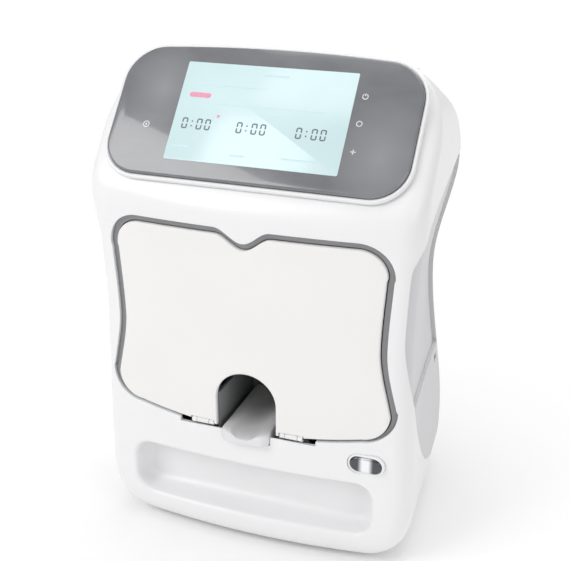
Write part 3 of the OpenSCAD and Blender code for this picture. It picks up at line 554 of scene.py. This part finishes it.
def plate(name, outer, holes, thick, edge, lift=0.0):
    """A sheet that follows the front surface, lift behind it, with rounded front edges."""
    loops = [(outer, 1)] + [(h, -1) for h in holes]
    turn = [(edge * (1 - math.cos(a)), edge * (1 - math.sin(a))) for a in spread(0, 90, 4)]
    points, edges, depth, rims = [], [], [], []
    for outline, sign in loops:
        for d, deep in turn:
            ring = inset(outline, sign * d)
            base = len(points)
            points += ring
            depth += [deep] * len(ring)
            edges += [(base + i, base + (i + 1) % len(ring)) for i in range(len(ring))]
            if d == 0:
                rims.append(range(base, base + len(ring)))
    grid = 6
    xs, zs = [p[0] for p in outer], [p[1] for p in outer]
    inner = [inset(o, s * (edge + 1.2)) for o, s in loops]
    for i in range(int((max(xs) - min(xs)) / grid) + 1):
        for j in range(int((max(zs) - min(zs)) / grid) + 1):
            p = (min(xs) + (i + 0.5 * (j % 2)) * grid, min(zs) + j * grid)
            if inside(p, inner[0]) and not any(inside(p, h) for h in inner[1:]):
                points.append(p)
                depth.append(0)
    result = delaunay_2d_cdt([Vector(p) for p in points], edges, [], 0, 1e-6)
    flat, tris, origin = result[0], result[2], result[3]
    keep = []
    for t in tris:
        c = sum((flat[i] for i in t), Vector((0, 0))) / 3
        if inside(c, outer) and not any(inside(c, h) for h in holes):
            keep.append(tuple(t))
    deep = [min((depth[k] for k in o), default=0) for o in origin]
    surface = [front_at(p.x, p.y) + lift for p in flat]
    n = len(flat)
    verts = [(p.x, y + d, p.y) for p, y, d in zip(flat, surface, deep)]
    verts += [(p.x, y + thick, p.y) for p, y in zip(flat, surface)]
    faces = keep + [tuple(n + i for i in reversed(t)) for t in keep]
    where = {k: i for i, o in enumerate(origin) for k in o}
    for rim in rims:
        ids = [where[k] for k in rim]
        faces += [(a, b, n + b, n + a) for a, b in zip(ids, ids[1:] + ids[:1])]
    return mesh_object(name, verts, faces)


def door_with_hole():
    """The door's outline with the finger hole cut into its bottom edge."""
    outline = door_outline(0, 0)
    r = HOLE_W / 2
    low = [p for p in outline if abs(p[0]) < r + 0.2 and p[1] < HOLE_TOP_Z]
    rest = [p for p in outline if p not in low]
    start = next(i for i, p in enumerate(rest) if p[0] > 0 and p[1] < HOLE_TOP_Z)
    zc = HOLE_TOP_Z - r
    zb = DOOR_LOW_Z - DOOR_BOW * (1 - (r / (DOOR_LOW_X - DOOR_R)) ** 2)
    side = [(r, z) for z in (zb + (zc - zb) * i / 8 for i in range(9))]
    over = arc(0, zc, r, 0, 180, 25)[1:-1]
    hole = [(-x, z) for x, z in side] + over[::-1] + side[::-1]
    return rest[start:] + rest[:start] + hole


def front_door():
    """Door panel, rounded about its hinge, with room for the knuckles and the strike."""
    door = plate("door_panel", door_with_hole(), [], DOOR_T, 0.9)
    _, y, z = middle(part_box("hinge_pins"))
    below = block(-BARREL_X, BARREL_X, -FAR, 0, 0, z)
    carve(below, "DIFFERENCE", rod_x(-BARREL_X - 1, BARREL_X + 1, y, z, BARREL_R))
    carve(door, "DIFFERENCE", below)
    for x in (-KNUCKLE_X, KNUCKLE_X):
        carve(door, "DIFFERENCE",
              block(x - KNUCKLE_ROOM, x + KNUCKLE_ROOM, -FAR, 0, 0, z + 2.5),
              block(x - BRACKET_ROOM, x + BRACKET_ROOM, y - 0.4, 0, 0, z + 10))
    lo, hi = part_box("door_strike")
    carve(door, "DIFFERENCE", block(-6, 6, lo.y / MM, 0, lo.z / MM, hi.z / MM))
    return smooth(door)


def door_trim():
    """Dark floor of the groove around the door."""
    trim = plate("door_frame_trim", groove_outline(), [door_outline(DOOR_GAP, DOOR_GAP)],
                 TRIM_T, 0.3, lift=TRIM_DEEP)
    lo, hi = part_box("finger_rest")
    carve(trim, "DIFFERENCE", hinge_sweep(),
          block(lo.x / MM - SEAM, hi.x / MM + SEAM, -FAR, 0, 0, HINGE_CUT_Z))
    return smooth(trim)


# ---- screen ----
def glass_outline(g):
    """Rounded outline of the glass, grown by g, with its top edge bowed upwards."""
    w, h = GLASS_W / 2 + g, GLASS_H / 2 + g
    flat = GLASS_W / 2 - GLASS_R
    corners = box_outline(2 * w, 2 * h, GLASS_R + g, 16)
    top = [(flat * (1 - i / 12), h) for i in range(1, 24)]
    points = corners[:16] + top + corners[16:]
    return [(x, y + GLASS_BOW * max(y, 0) / h * (1 - (x / w) ** 2)) for x, y in points]


def glass():
    """Cover glass with its front edge rounded."""
    rings = [[(x, y, GLASS_LIFT) for x, y in glass_outline(0)]]
    r = 1.4
    for a in spread(0, 90, 6):
        d = r * (1 - math.cos(a))
        rings.append([(x, y, GLASS_TOP - r * (1 - math.sin(a))) for x, y in glass_outline(-d)])
    return smooth(loft("cover_glass", [on_screen(r) for r in rings]), 50)


def bezel():
    """White rim around the glass: rounded outside, with a lip the glass drops into."""
    profile = [(-6, 0), (-6, 1.0), (0.2, 1.0), (0.2, 2.7)]
    profile += [(1.3 + 1.1 * math.sin(a), 2.2 + 0.8 * math.cos(a)) for a in spread(-75, 60, 7)]
    profile += [(RIM, 1.4), (RIM, 0)]
    rings = []
    for g, h in profile:
        rings.append(on_screen([(x, y, h) for x, y in glass_outline(g)]))
    return smooth(loft("screen_rim", rings, closed=True), 40)


# ---- finger rest and power button ----
REST_R, REST_LIP, REST_GROOVE_R, REST_GROOVE_UP, REST_EDGE = 6, 2.5, 14, 10, 1.5


def finger_rest():
    """Grooved tongue with a rounded front end."""
    lo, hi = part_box("finger_rest")
    w, z0, z1 = (hi.x - lo.x) / 2 / MM, lo.z / MM, hi.z / MM
    y0, y1 = lo.y / MM, hi.y / MM
    e = REST_EDGE
    top_x = math.sqrt(REST_GROOVE_R ** 2 - REST_GROOVE_UP ** 2) + 1
    section = arc(e - w, z0 + e, e, 180, 270, 6) + arc(w - e, z0 + e, e, 270, 360, 6)
    section += arc(w - e, z1 - e, e, 0, 90, 6) + [(top_x, z1 - 0.1)]
    half = math.degrees(math.acos(REST_GROOVE_UP / REST_GROOVE_R)) - 4
    section += arc(0, z1 + REST_GROOVE_UP, REST_GROOVE_R, 270 + half, 270 - half, 17)
    section += [(-top_x, z1 - 0.1)] + arc(e - w, z1 - e, e, 90, 180, 6)
    rings = []
    for a in spread(0, 90, 11):
        sx = (w - REST_R * (1 - math.sin(a))) / w
        fall = REST_LIP * (1 - math.sin(a))
        y = y0 + REST_R * (1 - math.cos(a))
        rings.append([(x * sx, y, z0 + (z - z0) * (1 - fall / (z1 - z0))) for x, z in section])
    rings.append([(x, y1, z) for x, z in section])
    return smooth(loft("finger_rest_pad", rings), 50)


def pill(name, node, rounding, front, back):
    """A stadium-shaped block on a node's place, its front face rounded and slightly crowned."""
    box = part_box(node)
    (w, _, h), (x, _, z) = extent(box), middle(box)
    rings = []

    def ring(d, y):
        outline = box_outline(w - 2 * d, h - 2 * d, h / 2 - d - 0.02, 12)
        rings.append([(x + a, y, z + b) for a, b in outline])

    ring(0, back)
    for a in spread(0, 90, 7):
        ring(rounding * (1 - math.cos(a)), front + rounding * (1.1 - math.sin(a)))
    for d, y in ((rounding + 1.2, front + 0.03), (h / 2 - 0.4, front)):
        ring(d, y)
    return smooth(loft(name, rings), 60)


def power_button():
    """Rounded cap with the round stem that presses the switch."""
    lo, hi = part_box("power_button")
    cap = pill("power_button_cap", "power_button", 1.2, lo.y / MM, lo.y / MM + 4.4)
    x, _, z = middle((lo, hi))
    stem = [[(x + a, y, z + b) for a, b in arc(0, 0, 2, 0, 345, 24)]
            for y in (lo.y / MM + 4, hi.y / MM)]
    carve(cap, "UNION", loft("stem", stem))
    cap.name = "power_button_cap"
    return smooth(cap, 50)


def button_ring():
    lo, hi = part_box("button_bezel")
    ring = pill("power_button_ring", "button_bezel", 0.7, lo.y / MM, hi.y / MM)
    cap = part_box("power_button")
    (w, _, h), (x, _, z) = [v + BUTTON_GAP for v in extent(cap)], middle(cap)
    hole = [(x + a, z + b) for a, b in box_outline(w, h, h / 2 - 0.02, 12)]
    carve(ring, "DIFFERENCE", prism_y(hole, -FAR, 0))
    ring.name = "power_button_ring"
    return smooth(ring, 50)


# ---- what the cartridge carries ----
STICKER_SIZE, STICKER_DOWN, DOT_R, DOT_FROM_END = (25, 9.5), 8, 1.1, 9


def label_dot(name, from_side):
    """A thin printed dot on the cartridge's label."""
    lo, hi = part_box("cartridge_label")
    x, y, top = lo.x / MM + from_side, hi.y / MM - DOT_FROM_END, hi.z / MM
    return loft(name, [[(a, b, z) for a, b in arc(x, y, DOT_R, 0, 350, 36)]
                       for z in (top - 0.05, top + 0.05)])


def sticker():
    """The blank sticker between the contact film and the lid."""
    lo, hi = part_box("cartridge_body")
    x, z, back = middle((lo, hi))[0], hi.z / MM - STICKER_DOWN, hi.y / MM
    outline = [(x + a, z + b) for a, b in box_outline(*STICKER_SIZE, 2.5)]
    o = prism_y(outline, back - 0.1, back + 0.2)
    o.name = "cartridge_sticker"
    return smooth(o)


# ---- what the display and the glass show ----
DIGIT_W, DIGIT_H, DIGIT_T = 3.6, 7.2, 0.85
DISPLAY_UP, MARK_T = 1.5, 0.05
FACE = GLASS_TOP + 0.1
COUNTER_X, COUNTER_Y = (-38, -3, 34), -7
TOUCH_X, TOUCH_Y, HOME_X, HOME_Y = 60, (19.5, 2.3, -15.3), -71, -10


def lit_display():
    rings = []
    for d, h in ((0, 0), (0, 0.06), (0.06, 0.1)):
        ring = box_outline(DISPLAY_W - 2 * d, DISPLAY_H - 2 * d, 1, 5)
        rings.append(on_screen([(x, y + DISPLAY_UP, GLASS_TOP + h) for x, y in ring]))
    return smooth(loft("display_face", rings))


def bar(x, y, w, h, r=0.3):
    return [(x + a, y + b) for a, b in box_outline(w, h, min(r, w / 2 - 0.01, h / 2 - 0.01), 3)]


def zero(x, y):
    """Outlines of the six segments of a nought centred at x, y, clockwise from its top."""
    w, h, t = DIGIT_W, DIGIT_H, DIGIT_T
    flat, tall = (w - 1.3 * t, t), (t, h / 2 - 1.1 * t)
    side, up, far_up = (w - t) / 2, h / 4, (h - t) / 2
    places = ((0, far_up, flat), (side, up, tall), (side, -up, tall),
              (0, -far_up, flat), (-side, -up, tall), (-side, up, tall))
    return [bar(x + right, y + above, *size) for right, above, size in places]


def counter(x, y):
    """A run of figures, 0:00, centred at x, y."""
    outlines = []
    for offset in (-8.2, 1.2, 6.6):
        outlines += zero(x + offset, y)
    outlines += [bar(x - 3.6, y + side, 0.95, 0.95) for side in (1.5, -1.5)]
    return outlines


def marks(name, outlines, height):
    """Thin raised shapes on the sloped face, height above its surface."""
    verts, faces = [], []
    for outline in outlines:
        base, n = len(verts), len(outline)
        for h in (height, height + MARK_T):
            verts += on_screen([(x, y, h) for x, y in outline])
        faces += [tuple(base + i for i in range(n)), tuple(base + n + i for i in range(n))]
        faces += [(base + i, base + (i + 1) % n, base + n + (i + 1) % n, base + n + i)
                  for i in range(n)]
    return mesh_object(name, verts, faces)


def ring_mark(x, y, r, t, gap=0):
    """An open ring with its gap at the top, as one outline."""
    outer = arc(x, y, r, 90 + gap, 450 - gap, 21)
    return outer + arc(x, y, r - t, 450 - gap, 90 + gap, 21)


# ---- materials ----
def colour(r, g, b):
    """Linear colour of an 8-bit screen colour."""
    def lin(v):
        v /= 255
        return v / 12.92 if v <= 0.04045 else ((v + 0.055) / 1.055) ** 2.4
    return (lin(r), lin(g), lin(b), 1)


class Finish:
    """Small helper that builds one node material."""

    def __init__(self, name):
        self.m = bpy.data.materials.new(name)
        self.m.use_nodes = True
        self.tree = self.m.node_tree
        self.shader = self.tree.nodes["Principled BSDF"]
        self.coords = self.tree.nodes.new("ShaderNodeTexCoord").outputs["Object"]

    def node(self, kind, **values):
        n = self.tree.nodes.new(kind)
        for k, v in values.items():
            setattr(n, k, v)
        return n

    def join(self, a, b):
        self.tree.links.new(a, b)

    def noise(self, size, detail=3.0, stretch=(1, 1, 1)):
        """Noise whose features are about size millimetres."""
        move = self.node("ShaderNodeMapping")
        move.inputs["Scale"].default_value = stretch
        self.join(self.coords, move.inputs["Vector"])
        n = self.node("ShaderNodeTexNoise")
        n.inputs["Scale"].default_value = 1 / (size * MM)
        n.inputs["Detail"].default_value = detail
        self.join(move.outputs[0], n.inputs["Vector"])
        return n.outputs["Fac"]

    def ramp(self, source, stops):
        r = self.node("ShaderNodeValToRGB")
        while len(r.color_ramp.elements) < len(stops):
            r.color_ramp.elements.new(0.5)
        for e, (p, c) in zip(r.color_ramp.elements, stops):
            e.position, e.color = p, c
        self.join(source, r.inputs[0])
        return r.outputs[0]

    def scaled(self, source, low, high):
        n = self.node("ShaderNodeMapRange")
        n.inputs["To Min"].default_value = low
        n.inputs["To Max"].default_value = high
        self.join(source, n.inputs["Value"])
        return n.outputs[0]

    def mix(self, fac, a, b):
        n = self.node("ShaderNodeMix", data_type="RGBA")
        self.join(fac, n.inputs["Factor"])
        for value, socket in ((a, n.inputs["A"]), (b, n.inputs["B"])):
            if isinstance(value, tuple):
                socket.default_value = value
            else:
                self.join(value, socket)
        return n.outputs["Result"]

    def edges(self, radius):
        """Wear that grows at edges sharper than radius millimetres, and the rounded normal."""
        b = self.node("ShaderNodeBevel", samples=4)
        b.inputs["Radius"].default_value = radius * MM
        g = self.node("ShaderNodeNewGeometry")
        d = self.node("ShaderNodeVectorMath", operation="DOT_PRODUCT")
        self.join(b.outputs[0], d.inputs[0])
        self.join(g.outputs["Normal"], d.inputs[1])
        return self.scaled(d.outputs["Value"], 1, 0), b.outputs[0]

    def bump(self, height, strength, distance, normal=None):
        b = self.node("ShaderNodeBump")
        b.inputs["Strength"].default_value = strength
        b.inputs["Distance"].default_value = distance * MM
        self.join(height, b.inputs["Height"])
        if normal is not None:
            self.join(normal, b.inputs["Normal"])
        return b.outputs[0]


def shade(base, f):
    return tuple(min(c * f, 1) for c in base[:3]) + (1,)


def plastic(name, base, rough=0.4, grain=0.35, grain_depth=0.02, wear=1.08, coat=0.0,
            uneven=0.04):
    """Moulded plastic: spark-eroded grain, faint colour drift, handled edges."""
    f = Finish(name)
    worn, normal = f.edges(0.4)
    drift = f.ramp(f.noise(60, 2), [(0.35, shade(base, 1 - uneven)), (0.65, base)])
    dust = f.noise(9, 5)
    aged = f.mix(f.scaled(dust, 0.0, 0.12), drift, shade(base, 0.9))
    f.join(f.mix(f.scaled(worn, 0, 0.8), aged, shade(base, wear)), f.shader.inputs["Base Color"])
    f.join(f.scaled(f.noise(14, 4), rough - 0.06, rough + 0.08), f.shader.inputs["Roughness"])
    f.join(f.bump(f.noise(grain, 2), 0.5, grain_depth, normal), f.shader.inputs["Normal"])
    f.shader.inputs["Coat Weight"].default_value = coat
    f.shader.inputs["Coat Roughness"].default_value = 0.12
    return f.m


def metal(name, base, rough=0.25, stretch=(1, 1, 12), size=1.2):
    """Metal with a drawn or brushed grain along one axis and a little tarnish."""
    f = Finish(name)
    f.shader.inputs["Metallic"].default_value = 1.0
    worn, normal = f.edges(0.3)
    tarnish = f.ramp(f.noise(18, 4), [(0.3, shade(base, 0.86)), (0.7, base)])
    f.join(f.mix(f.scaled(worn, 0, 0.6), tarnish, shade(base, 1.12)),
           f.shader.inputs["Base Color"])
    grain = f.noise(size, 3, stretch)
    f.join(f.scaled(grain, rough - 0.07, rough + 0.1), f.shader.inputs["Roughness"])
    f.join(f.bump(grain, 0.4, 0.006, normal), f.shader.inputs["Normal"])
    return f.m


def circuit():
    """Green solder mask, paler where tracks run under it."""
    f = Finish("circuit_board")
    tracks = f.node("ShaderNodeTexBrick")
    tracks.inputs["Scale"].default_value = 1 / (9 * MM)
    tracks.inputs["Mortar Size"].default_value = 0.05
    tracks.inputs["Color1"].default_value = colour(26, 92, 58)
    tracks.inputs["Color2"].default_value = colour(30, 104, 64)
    tracks.inputs["Mortar"].default_value = colour(58, 132, 84)
    f.join(f.coords, tracks.inputs["Vector"])
    f.join(f.mix(f.scaled(f.noise(20, 4), 0, 0.3), tracks.outputs["Color"], colour(18, 70, 46)),
           f.shader.inputs["Base Color"])
    f.join(f.scaled(f.noise(5, 3), 0.25, 0.45), f.shader.inputs["Roughness"])
    f.join(f.bump(tracks.outputs["Fac"], 0.3, 0.04), f.shader.inputs["Normal"])
    return f.m


def cover_glass_finish():
    """Grey-backed glass, with painted reflections as two soft paler patches beside the display."""
    f = Finish("cover_glass")
    smear = f.noise(22, 5, (1, 1, 2.5))
    tone_and_painted_reflections = f.ramp(smear, [(0.3, colour(110, 111, 115)), (0.75, colour(118, 119, 123))])
    # Each patch is a painted reflection: a soft paler spot laid into the glass colour.
    for x, y, size in ((-66, 14, 24), (76, -18, 30)):
        (px, py, pz), = on_screen([(x, y, GLASS_T)])
        painted_reflection = f.node("ShaderNodeTexGradient", gradient_type="SPHERICAL")
        place = f.node("ShaderNodeMapping", vector_type="TEXTURE")
        place.inputs["Location"].default_value = (px * MM, py * MM, pz * MM)
        place.inputs["Scale"].default_value = (size * MM, size * MM, 2 * size * MM)
        f.join(f.coords, place.inputs["Vector"])
        f.join(place.outputs[0], painted_reflection.inputs["Vector"])
        tone_and_painted_reflections = f.mix(f.scaled(painted_reflection.outputs["Fac"], 0, 1), tone_and_painted_reflections, colour(142, 143, 147))
    f.join(tone_and_painted_reflections, f.shader.inputs["Base Color"])
    f.join(f.scaled(smear, 0.08, 0.2), f.shader.inputs["Roughness"])
    f.join(f.bump(f.noise(40, 1), 0.2, 0.02), f.shader.inputs["Normal"])
    f.shader.inputs["Coat Weight"].default_value = 0.6
    f.shader.inputs["Coat Roughness"].default_value = 0.04
    return f.m


def button_chrome_painted_reflection():
    """Chromed cap with a painted reflection: a painted highlight in the middle and painted dark
    reflections towards both ends.
    """
    f = Finish("button_chrome_painted_reflection")
    lo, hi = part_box("power_button")
    f.shader.inputs["Metallic"].default_value = 1.0
    parts = f.node("ShaderNodeSeparateXYZ")
    f.join(f.coords, parts.inputs[0])
    away = f.node("ShaderNodeMath", operation="SUBTRACT")
    away.inputs[1].default_value = (lo.x + hi.x) / 2
    f.join(parts.outputs["X"], away.inputs[0])
    size = f.node("ShaderNodeMath", operation="ABSOLUTE")
    f.join(away.outputs[0], size.inputs[0])
    share = f.node("ShaderNodeMapRange", interpolation_type="SMOOTHSTEP")
    share.inputs["From Min"].default_value = 1.6 * MM
    share.inputs["From Max"].default_value = 5.2 * MM
    f.join(size.outputs[0], share.inputs["Value"])
    # Painted reflection: pale in the middle as a painted highlight, dark towards the ends as
    # painted dark reflections.
    f.join(f.mix(share.outputs[0], colour(246, 247, 249), colour(92, 94, 98)),
           f.shader.inputs["Base Color"])
    f.join(f.scaled(f.noise(4, 3), 0.1, 0.2), f.shader.inputs["Roughness"])
    f.join(f.bump(f.noise(0.8, 2), 0.2, 0.003), f.shader.inputs["Normal"])
    return f.m


def lit(name, low, high, strength, size=30):
    """A softly uneven lit face."""
    f = Finish(name)
    c = f.ramp(f.noise(size, 2), [(0.3, low), (0.7, high)])
    f.join(c, f.shader.inputs["Base Color"])
    f.join(c, f.shader.inputs["Emission Color"])
    f.shader.inputs["Emission Strength"].default_value = strength
    f.join(f.scaled(f.noise(12, 3), 0.12, 0.25), f.shader.inputs["Roughness"])
    f.join(f.bump(f.noise(0.5, 1), 0.1, 0.01), f.shader.inputs["Normal"])
    return f.m


WHITE = plastic("shell_white", colour(238, 238, 239), 0.34, wear=1.03, uneven=0.012, coat=0.15)
REAR = plastic("shell_rear", colour(208, 208, 210), 0.42, wear=1.03, uneven=0.015)
PANEL = plastic("panel_grey", colour(212, 212, 214), 0.46, grain=0.5, grain_depth=0.03)
DOOR = plastic("door_white", colour(238, 237, 236), 0.38, wear=1.03, uneven=0.015, coat=0.1)
TRIM = plastic("trim_grey", colour(140, 140, 143), 0.4, wear=1.15)
DARK = plastic("dark_plastic", colour(58, 59, 62), 0.5, grain=0.4, wear=1.5)
CHAMBER = plastic("chamber_grey", colour(148, 151, 152), 0.55, grain=0.4, wear=1.15)
BASE = plastic("base_grey", colour(190, 190, 192), 0.5)
REST = plastic("rest_grey", colour(226, 225, 227), 0.42, wear=1.03, uneven=0.015)
IVORY = plastic("ivory_plastic", colour(222, 218, 204), 0.45)
CARTRIDGE = plastic("cartridge_black", colour(26, 27, 30), 0.3, grain=0.3, wear=2.2, coat=0.25)
RUBBER = plastic("rubber_black", colour(40, 40, 42), 0.8, grain=0.25, grain_depth=0.05, wear=1.2)
BELT = plastic("belt_rubber", colour(34, 34, 36), 0.7, grain=0.3, grain_depth=0.05, wear=1.3)
LAMP = lit("lamp_white", colour(236, 240, 246), colour(250, 252, 255), 0.8, 4)
LABEL = plastic("label_blue", colour(186, 226, 228), 0.4, grain=0.6, grain_depth=0.008, wear=1.05)
DOT_PINK = plastic("label_pink", colour(238, 168, 160), 0.4, grain=0.6, grain_depth=0.008)
DOT_YELLOW = plastic("label_yellow", colour(238, 222, 110), 0.4, grain=0.6, grain_depth=0.008)
STICKER = plastic("sticker_white", colour(222, 224, 228), 0.45, grain=0.6, grain_depth=0.008)
STEEL = metal("steel", colour(196, 198, 202), 0.22)
SHEET = metal("sheet_metal", colour(186, 188, 190), 0.36, (1, 1, 8), 1.5)
ALU = metal("aluminium", colour(208, 210, 213), 0.3)
BRONZE = metal("bronze", colour(190, 150, 92), 0.34)
GOLD = metal("gold", colour(232, 190, 96), 0.22)
COPPER = metal("flex_copper", colour(186, 116, 62), 0.32, (1, 6, 1), 1.5)
CIRCUIT = circuit()
GLASS = cover_glass_finish()
DISPLAY = lit("display", colour(178, 200, 203), colour(190, 210, 212), 0.26, 60)
INK = lit("display_ink", colour(96, 104, 112), colour(112, 120, 128), 0.15, 2)
FAINT = lit("display_faint", colour(176, 200, 206), colour(186, 208, 214), 0.3, 2)
PINK = lit("display_pink", colour(206, 138, 158), colour(214, 152, 170), 0.26, 3)
MARK = lit("touch_mark", colour(188, 190, 194), colour(206, 208, 212), 0.2, 2)
BUTTON = button_chrome_painted_reflection()

FINISHES = {
    DOOR: ("door_knuckles",),
    WHITE: ("screen_bezel", "hinge_brackets", "camera_bracket"),
    BASE: ("base_plate",),
    RUBBER: ("rubber_feet",),
    STEEL: ("case_screws", "door_strike", "hinge_pins", "guide_rods", "stage_rods",
            "lead_screw", "usb_port"),
    DARK: ("camera_module", "button_switch", "latch_magnet", "carriage",
           "dc_inlet", "fan_frame", "fan_rotor"),
    CHAMBER: ("finger_chamber",),
    IVORY: ("idler_pulley", "gantry_frame", "gantry_bar"),
    SHEET: ("chassis_frame", "x_motor", "idler_bracket", "y_motor"),
    ALU: ("chassis_posts", "drive_pulley"),
    BRONZE: ("gantry_bushings", "lead_nut", "board_standoffs"),
    CIRCUIT: ("display_board", "contact_board", "main_board", "power_board"),
    CARTRIDGE: ("cartridge_body", "cartridge_lid"),
    LABEL: ("cartridge_label",),
    COPPER: ("contact_flex",),
    GOLD: ("contact_pads", "nozzle_plate"),
    BELT: ("drive_belt",),
    LAMP: ("light_strip",),
    DISPLAY: ("display_module",),
}


def dress(o, material):
    o.data.materials.clear()
    o.data.materials.append(material)


def piece(o, material, body="root", replaces=()):
    """Gives a made piece its material and its body, and hides the nodes that it stands for."""
    dress(o, material)
    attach(o, body)
    if replaces:
        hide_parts(*replaces)


# ---- the pieces ----

for material, names in FINISHES.items():
    for name in names:
        dress(NODES[name], material)
        bevel(NODES[name], EDGE_BEVEL)

piece(front_shell(), WHITE, replaces=["front_shell", "head_shell", "recess_tub"])
piece(rear_shell(), REAR, replaces=["rear_shell"])
for sign, node in ((1, "side_panel_right"), (-1, "side_panel_left")):
    piece(side_panel(sign), PANEL, replaces=[node])
piece(front_door(), DOOR, "door", ["front_door"])
piece(door_trim(), TRIM, replaces=["door_trim"])
piece(glass(), GLASS, replaces=["screen_glass"])
piece(bezel(), WHITE, replaces=["screen_bezel"])
piece(lit_display(), DISPLAY)
piece(marks("display_figures", [o for x in COUNTER_X for o in counter(x, COUNTER_Y)], FACE),
      INK)
piece(marks("display_bar", [bar(-41, 12, 14, 3.2, 1.4), bar(-26, -1, 2, 2, 0.9)], FACE),
      PINK)
faint = [bar(4, 28, 16, 1.2), bar(2, 7, 74, 0.5), bar(-46, -22, 12, 1.2), bar(-8, -25, 9, 1.1),
         bar(30, -24, 22, 1.1), bar(-20, 19, 40, 0.6), bar(9, 2, 2, 1.6), bar(45, 2, 2, 1.6)]
piece(marks("display_lines", faint, FACE), FAINT)
touch = [ring_mark(TOUCH_X, TOUCH_Y[0], 1.9, 0.6, 28), bar(TOUCH_X, TOUCH_Y[0] + 1.2, 0.6, 1.8),
         ring_mark(TOUCH_X, TOUCH_Y[1], 1.9, 0.6), bar(TOUCH_X, TOUCH_Y[2], 3.2, 0.7),
         bar(TOUCH_X, TOUCH_Y[2], 0.7, 3.2), ring_mark(HOME_X, HOME_Y, 2.2, 0.7),
         bar(HOME_X, HOME_Y, 1.4, 1.4, 0.69)]
piece(marks("touch_marks", touch, GLASS_TOP), MARK)
piece(finger_rest(), REST, replaces=["finger_rest"])
piece(power_button(), BUTTON, "power_button", ["power_button"])
piece(button_ring(), WHITE, replaces=["button_bezel"])
piece(label_dot("label_dot_pink", 7), DOT_PINK, "cartridge")
piece(label_dot("label_dot_yellow", 3.6), DOT_YELLOW, "cartridge")
piece(sticker(), STICKER, "cartridge")

# ---- stage, lights and camera ----
CAMERA_TURN, CAMERA_RISE, CAMERA_RANGE = math.radians(20.3), math.radians(23.3), 612
CAMERA_TARGET, CAMERA_AIM = Vector((23, -69.5, 184)) * MM, Vector((-2, 0, 160)) * MM
FOCAL_PX, IMAGE_PX, SENSOR = 1030, 569, 36
FLOOR_SIZE, FLOOR_NEAR, FLOOR_AWAY = 3.0, 0.06, 0.3
WORLD_LIGHT = 0.54


def camera():
    c = bpy.data.cameras.new("camera")
    c.sensor_width = SENSOR
    c.lens = FOCAL_PX * SENSOR / IMAGE_PX
    c.clip_start = 0.01
    o = link("camera", c)
    back = Vector((math.sin(CAMERA_TURN) * math.cos(CAMERA_RISE),
                   -math.cos(CAMERA_TURN) * math.cos(CAMERA_RISE), math.sin(CAMERA_RISE)))
    o.location = CAMERA_TARGET + back * CAMERA_RANGE * MM
    aim = CAMERA_AIM - o.location
    o.rotation_euler = aim.to_track_quat("-Z", "Y").to_euler()
    bpy.context.scene.camera = o


def area(name, place, aim, size, power):
    lamp = bpy.data.lights.new(name, "AREA")
    lamp.shape = "RECTANGLE"
    lamp.size, lamp.size_y = size
    lamp.energy = power
    o = link(name, lamp)
    o.location = place
    o.rotation_euler = (Vector(aim) - Vector(place)).to_track_quat("-Z", "Y").to_euler()


def floor_finish():
    """Pale floor that takes the shadow near the object and is seen as white further off."""
    f = Finish("floor")
    base = colour(252, 252, 252)
    f.join(f.ramp(f.noise(400, 2), [(0.3, shade(base, 0.99)), (0.7, base)]),
           f.shader.inputs["Base Color"])
    f.shader.inputs["Roughness"].default_value = 0.9
    away = f.node("ShaderNodeVectorMath", operation="LENGTH")
    f.join(f.coords, away.inputs[0])
    share = f.node("ShaderNodeMapRange", interpolation_type="SMOOTHSTEP")
    share.inputs["From Min"].default_value = FLOOR_NEAR
    share.inputs["From Max"].default_value = FLOOR_AWAY
    f.join(away.outputs["Value"], share.inputs["Value"])
    path = f.node("ShaderNodeLightPath")
    seen = path.outputs["Is Camera Ray"]
    for kind in ("Is Glossy Ray", "Is Transmission Ray"):
        both = f.node("ShaderNodeMath", operation="MAXIMUM")
        f.join(seen, both.inputs[0])
        f.join(path.outputs[kind], both.inputs[1])
        seen = both.outputs[0]
    amount = f.node("ShaderNodeMath", operation="MULTIPLY")
    f.join(share.outputs[0], amount.inputs[0])
    f.join(seen, amount.inputs[1])
    white = f.node("ShaderNodeEmission")
    blend = f.node("ShaderNodeMixShader")
    f.join(amount.outputs[0], blend.inputs[0])
    f.join(f.shader.outputs[0], blend.inputs[1])
    f.join(white.outputs[0], blend.inputs[2])
    f.join(blend.outputs[0], f.tree.nodes["Material Output"].inputs["Surface"])
    return f.m


def floor():
    size = FLOOR_SIZE
    mesh = bpy.data.meshes.new("floor")
    mesh.from_pydata([(-size, -size, 0), (size, -size, 0), (size, size, 0), (-size, size, 0)],
                     [], [(0, 1, 2, 3)])
    o = link("floor", mesh)
    dress(o, floor_finish())


def world():
    """Soft white surroundings, seen by the camera as plain white."""
    w = bpy.data.worlds.new("world")
    bpy.context.scene.world = w
    w.use_nodes = True
    tree = w.node_tree
    ground = tree.nodes["Background"]
    ground.inputs["Color"].default_value = (1, 1, 1, 1)
    ground.inputs["Strength"].default_value = WORLD_LIGHT
    seen = tree.nodes.new("ShaderNodeBackground")
    seen.inputs["Color"].default_value = (1, 1, 1, 1)
    seen.inputs["Strength"].default_value = 1.0
    path = tree.nodes.new("ShaderNodeLightPath")
    pick = tree.nodes.new("ShaderNodeMixShader")
    tree.links.new(path.outputs["Is Camera Ray"], pick.inputs[0])
    tree.links.new(ground.outputs[0], pick.inputs[1])
    tree.links.new(seen.outputs[0], pick.inputs[2])
    tree.links.new(pick.outputs[0], tree.nodes["World Output"].inputs["Surface"])


floor()
world()
camera()
area("key", (-0.9, -1.1, 1.2), (0, 0, 0.16), (0.9, 0.9), 11.7)
area("fill", (1.2, -0.8, 0.7), (0, 0, 0.16), (0.8, 0.8), 3.4)
area("top", (0.0, 0.2, 1.5), (0, 0, 0.2), (1.0, 1.0), 6)
area("back", (0.3, 1.2, 0.9), (0, 0, 0.2), (0.8, 0.8), 4)
bpy.context.scene.view_settings.view_transform = "Standard"
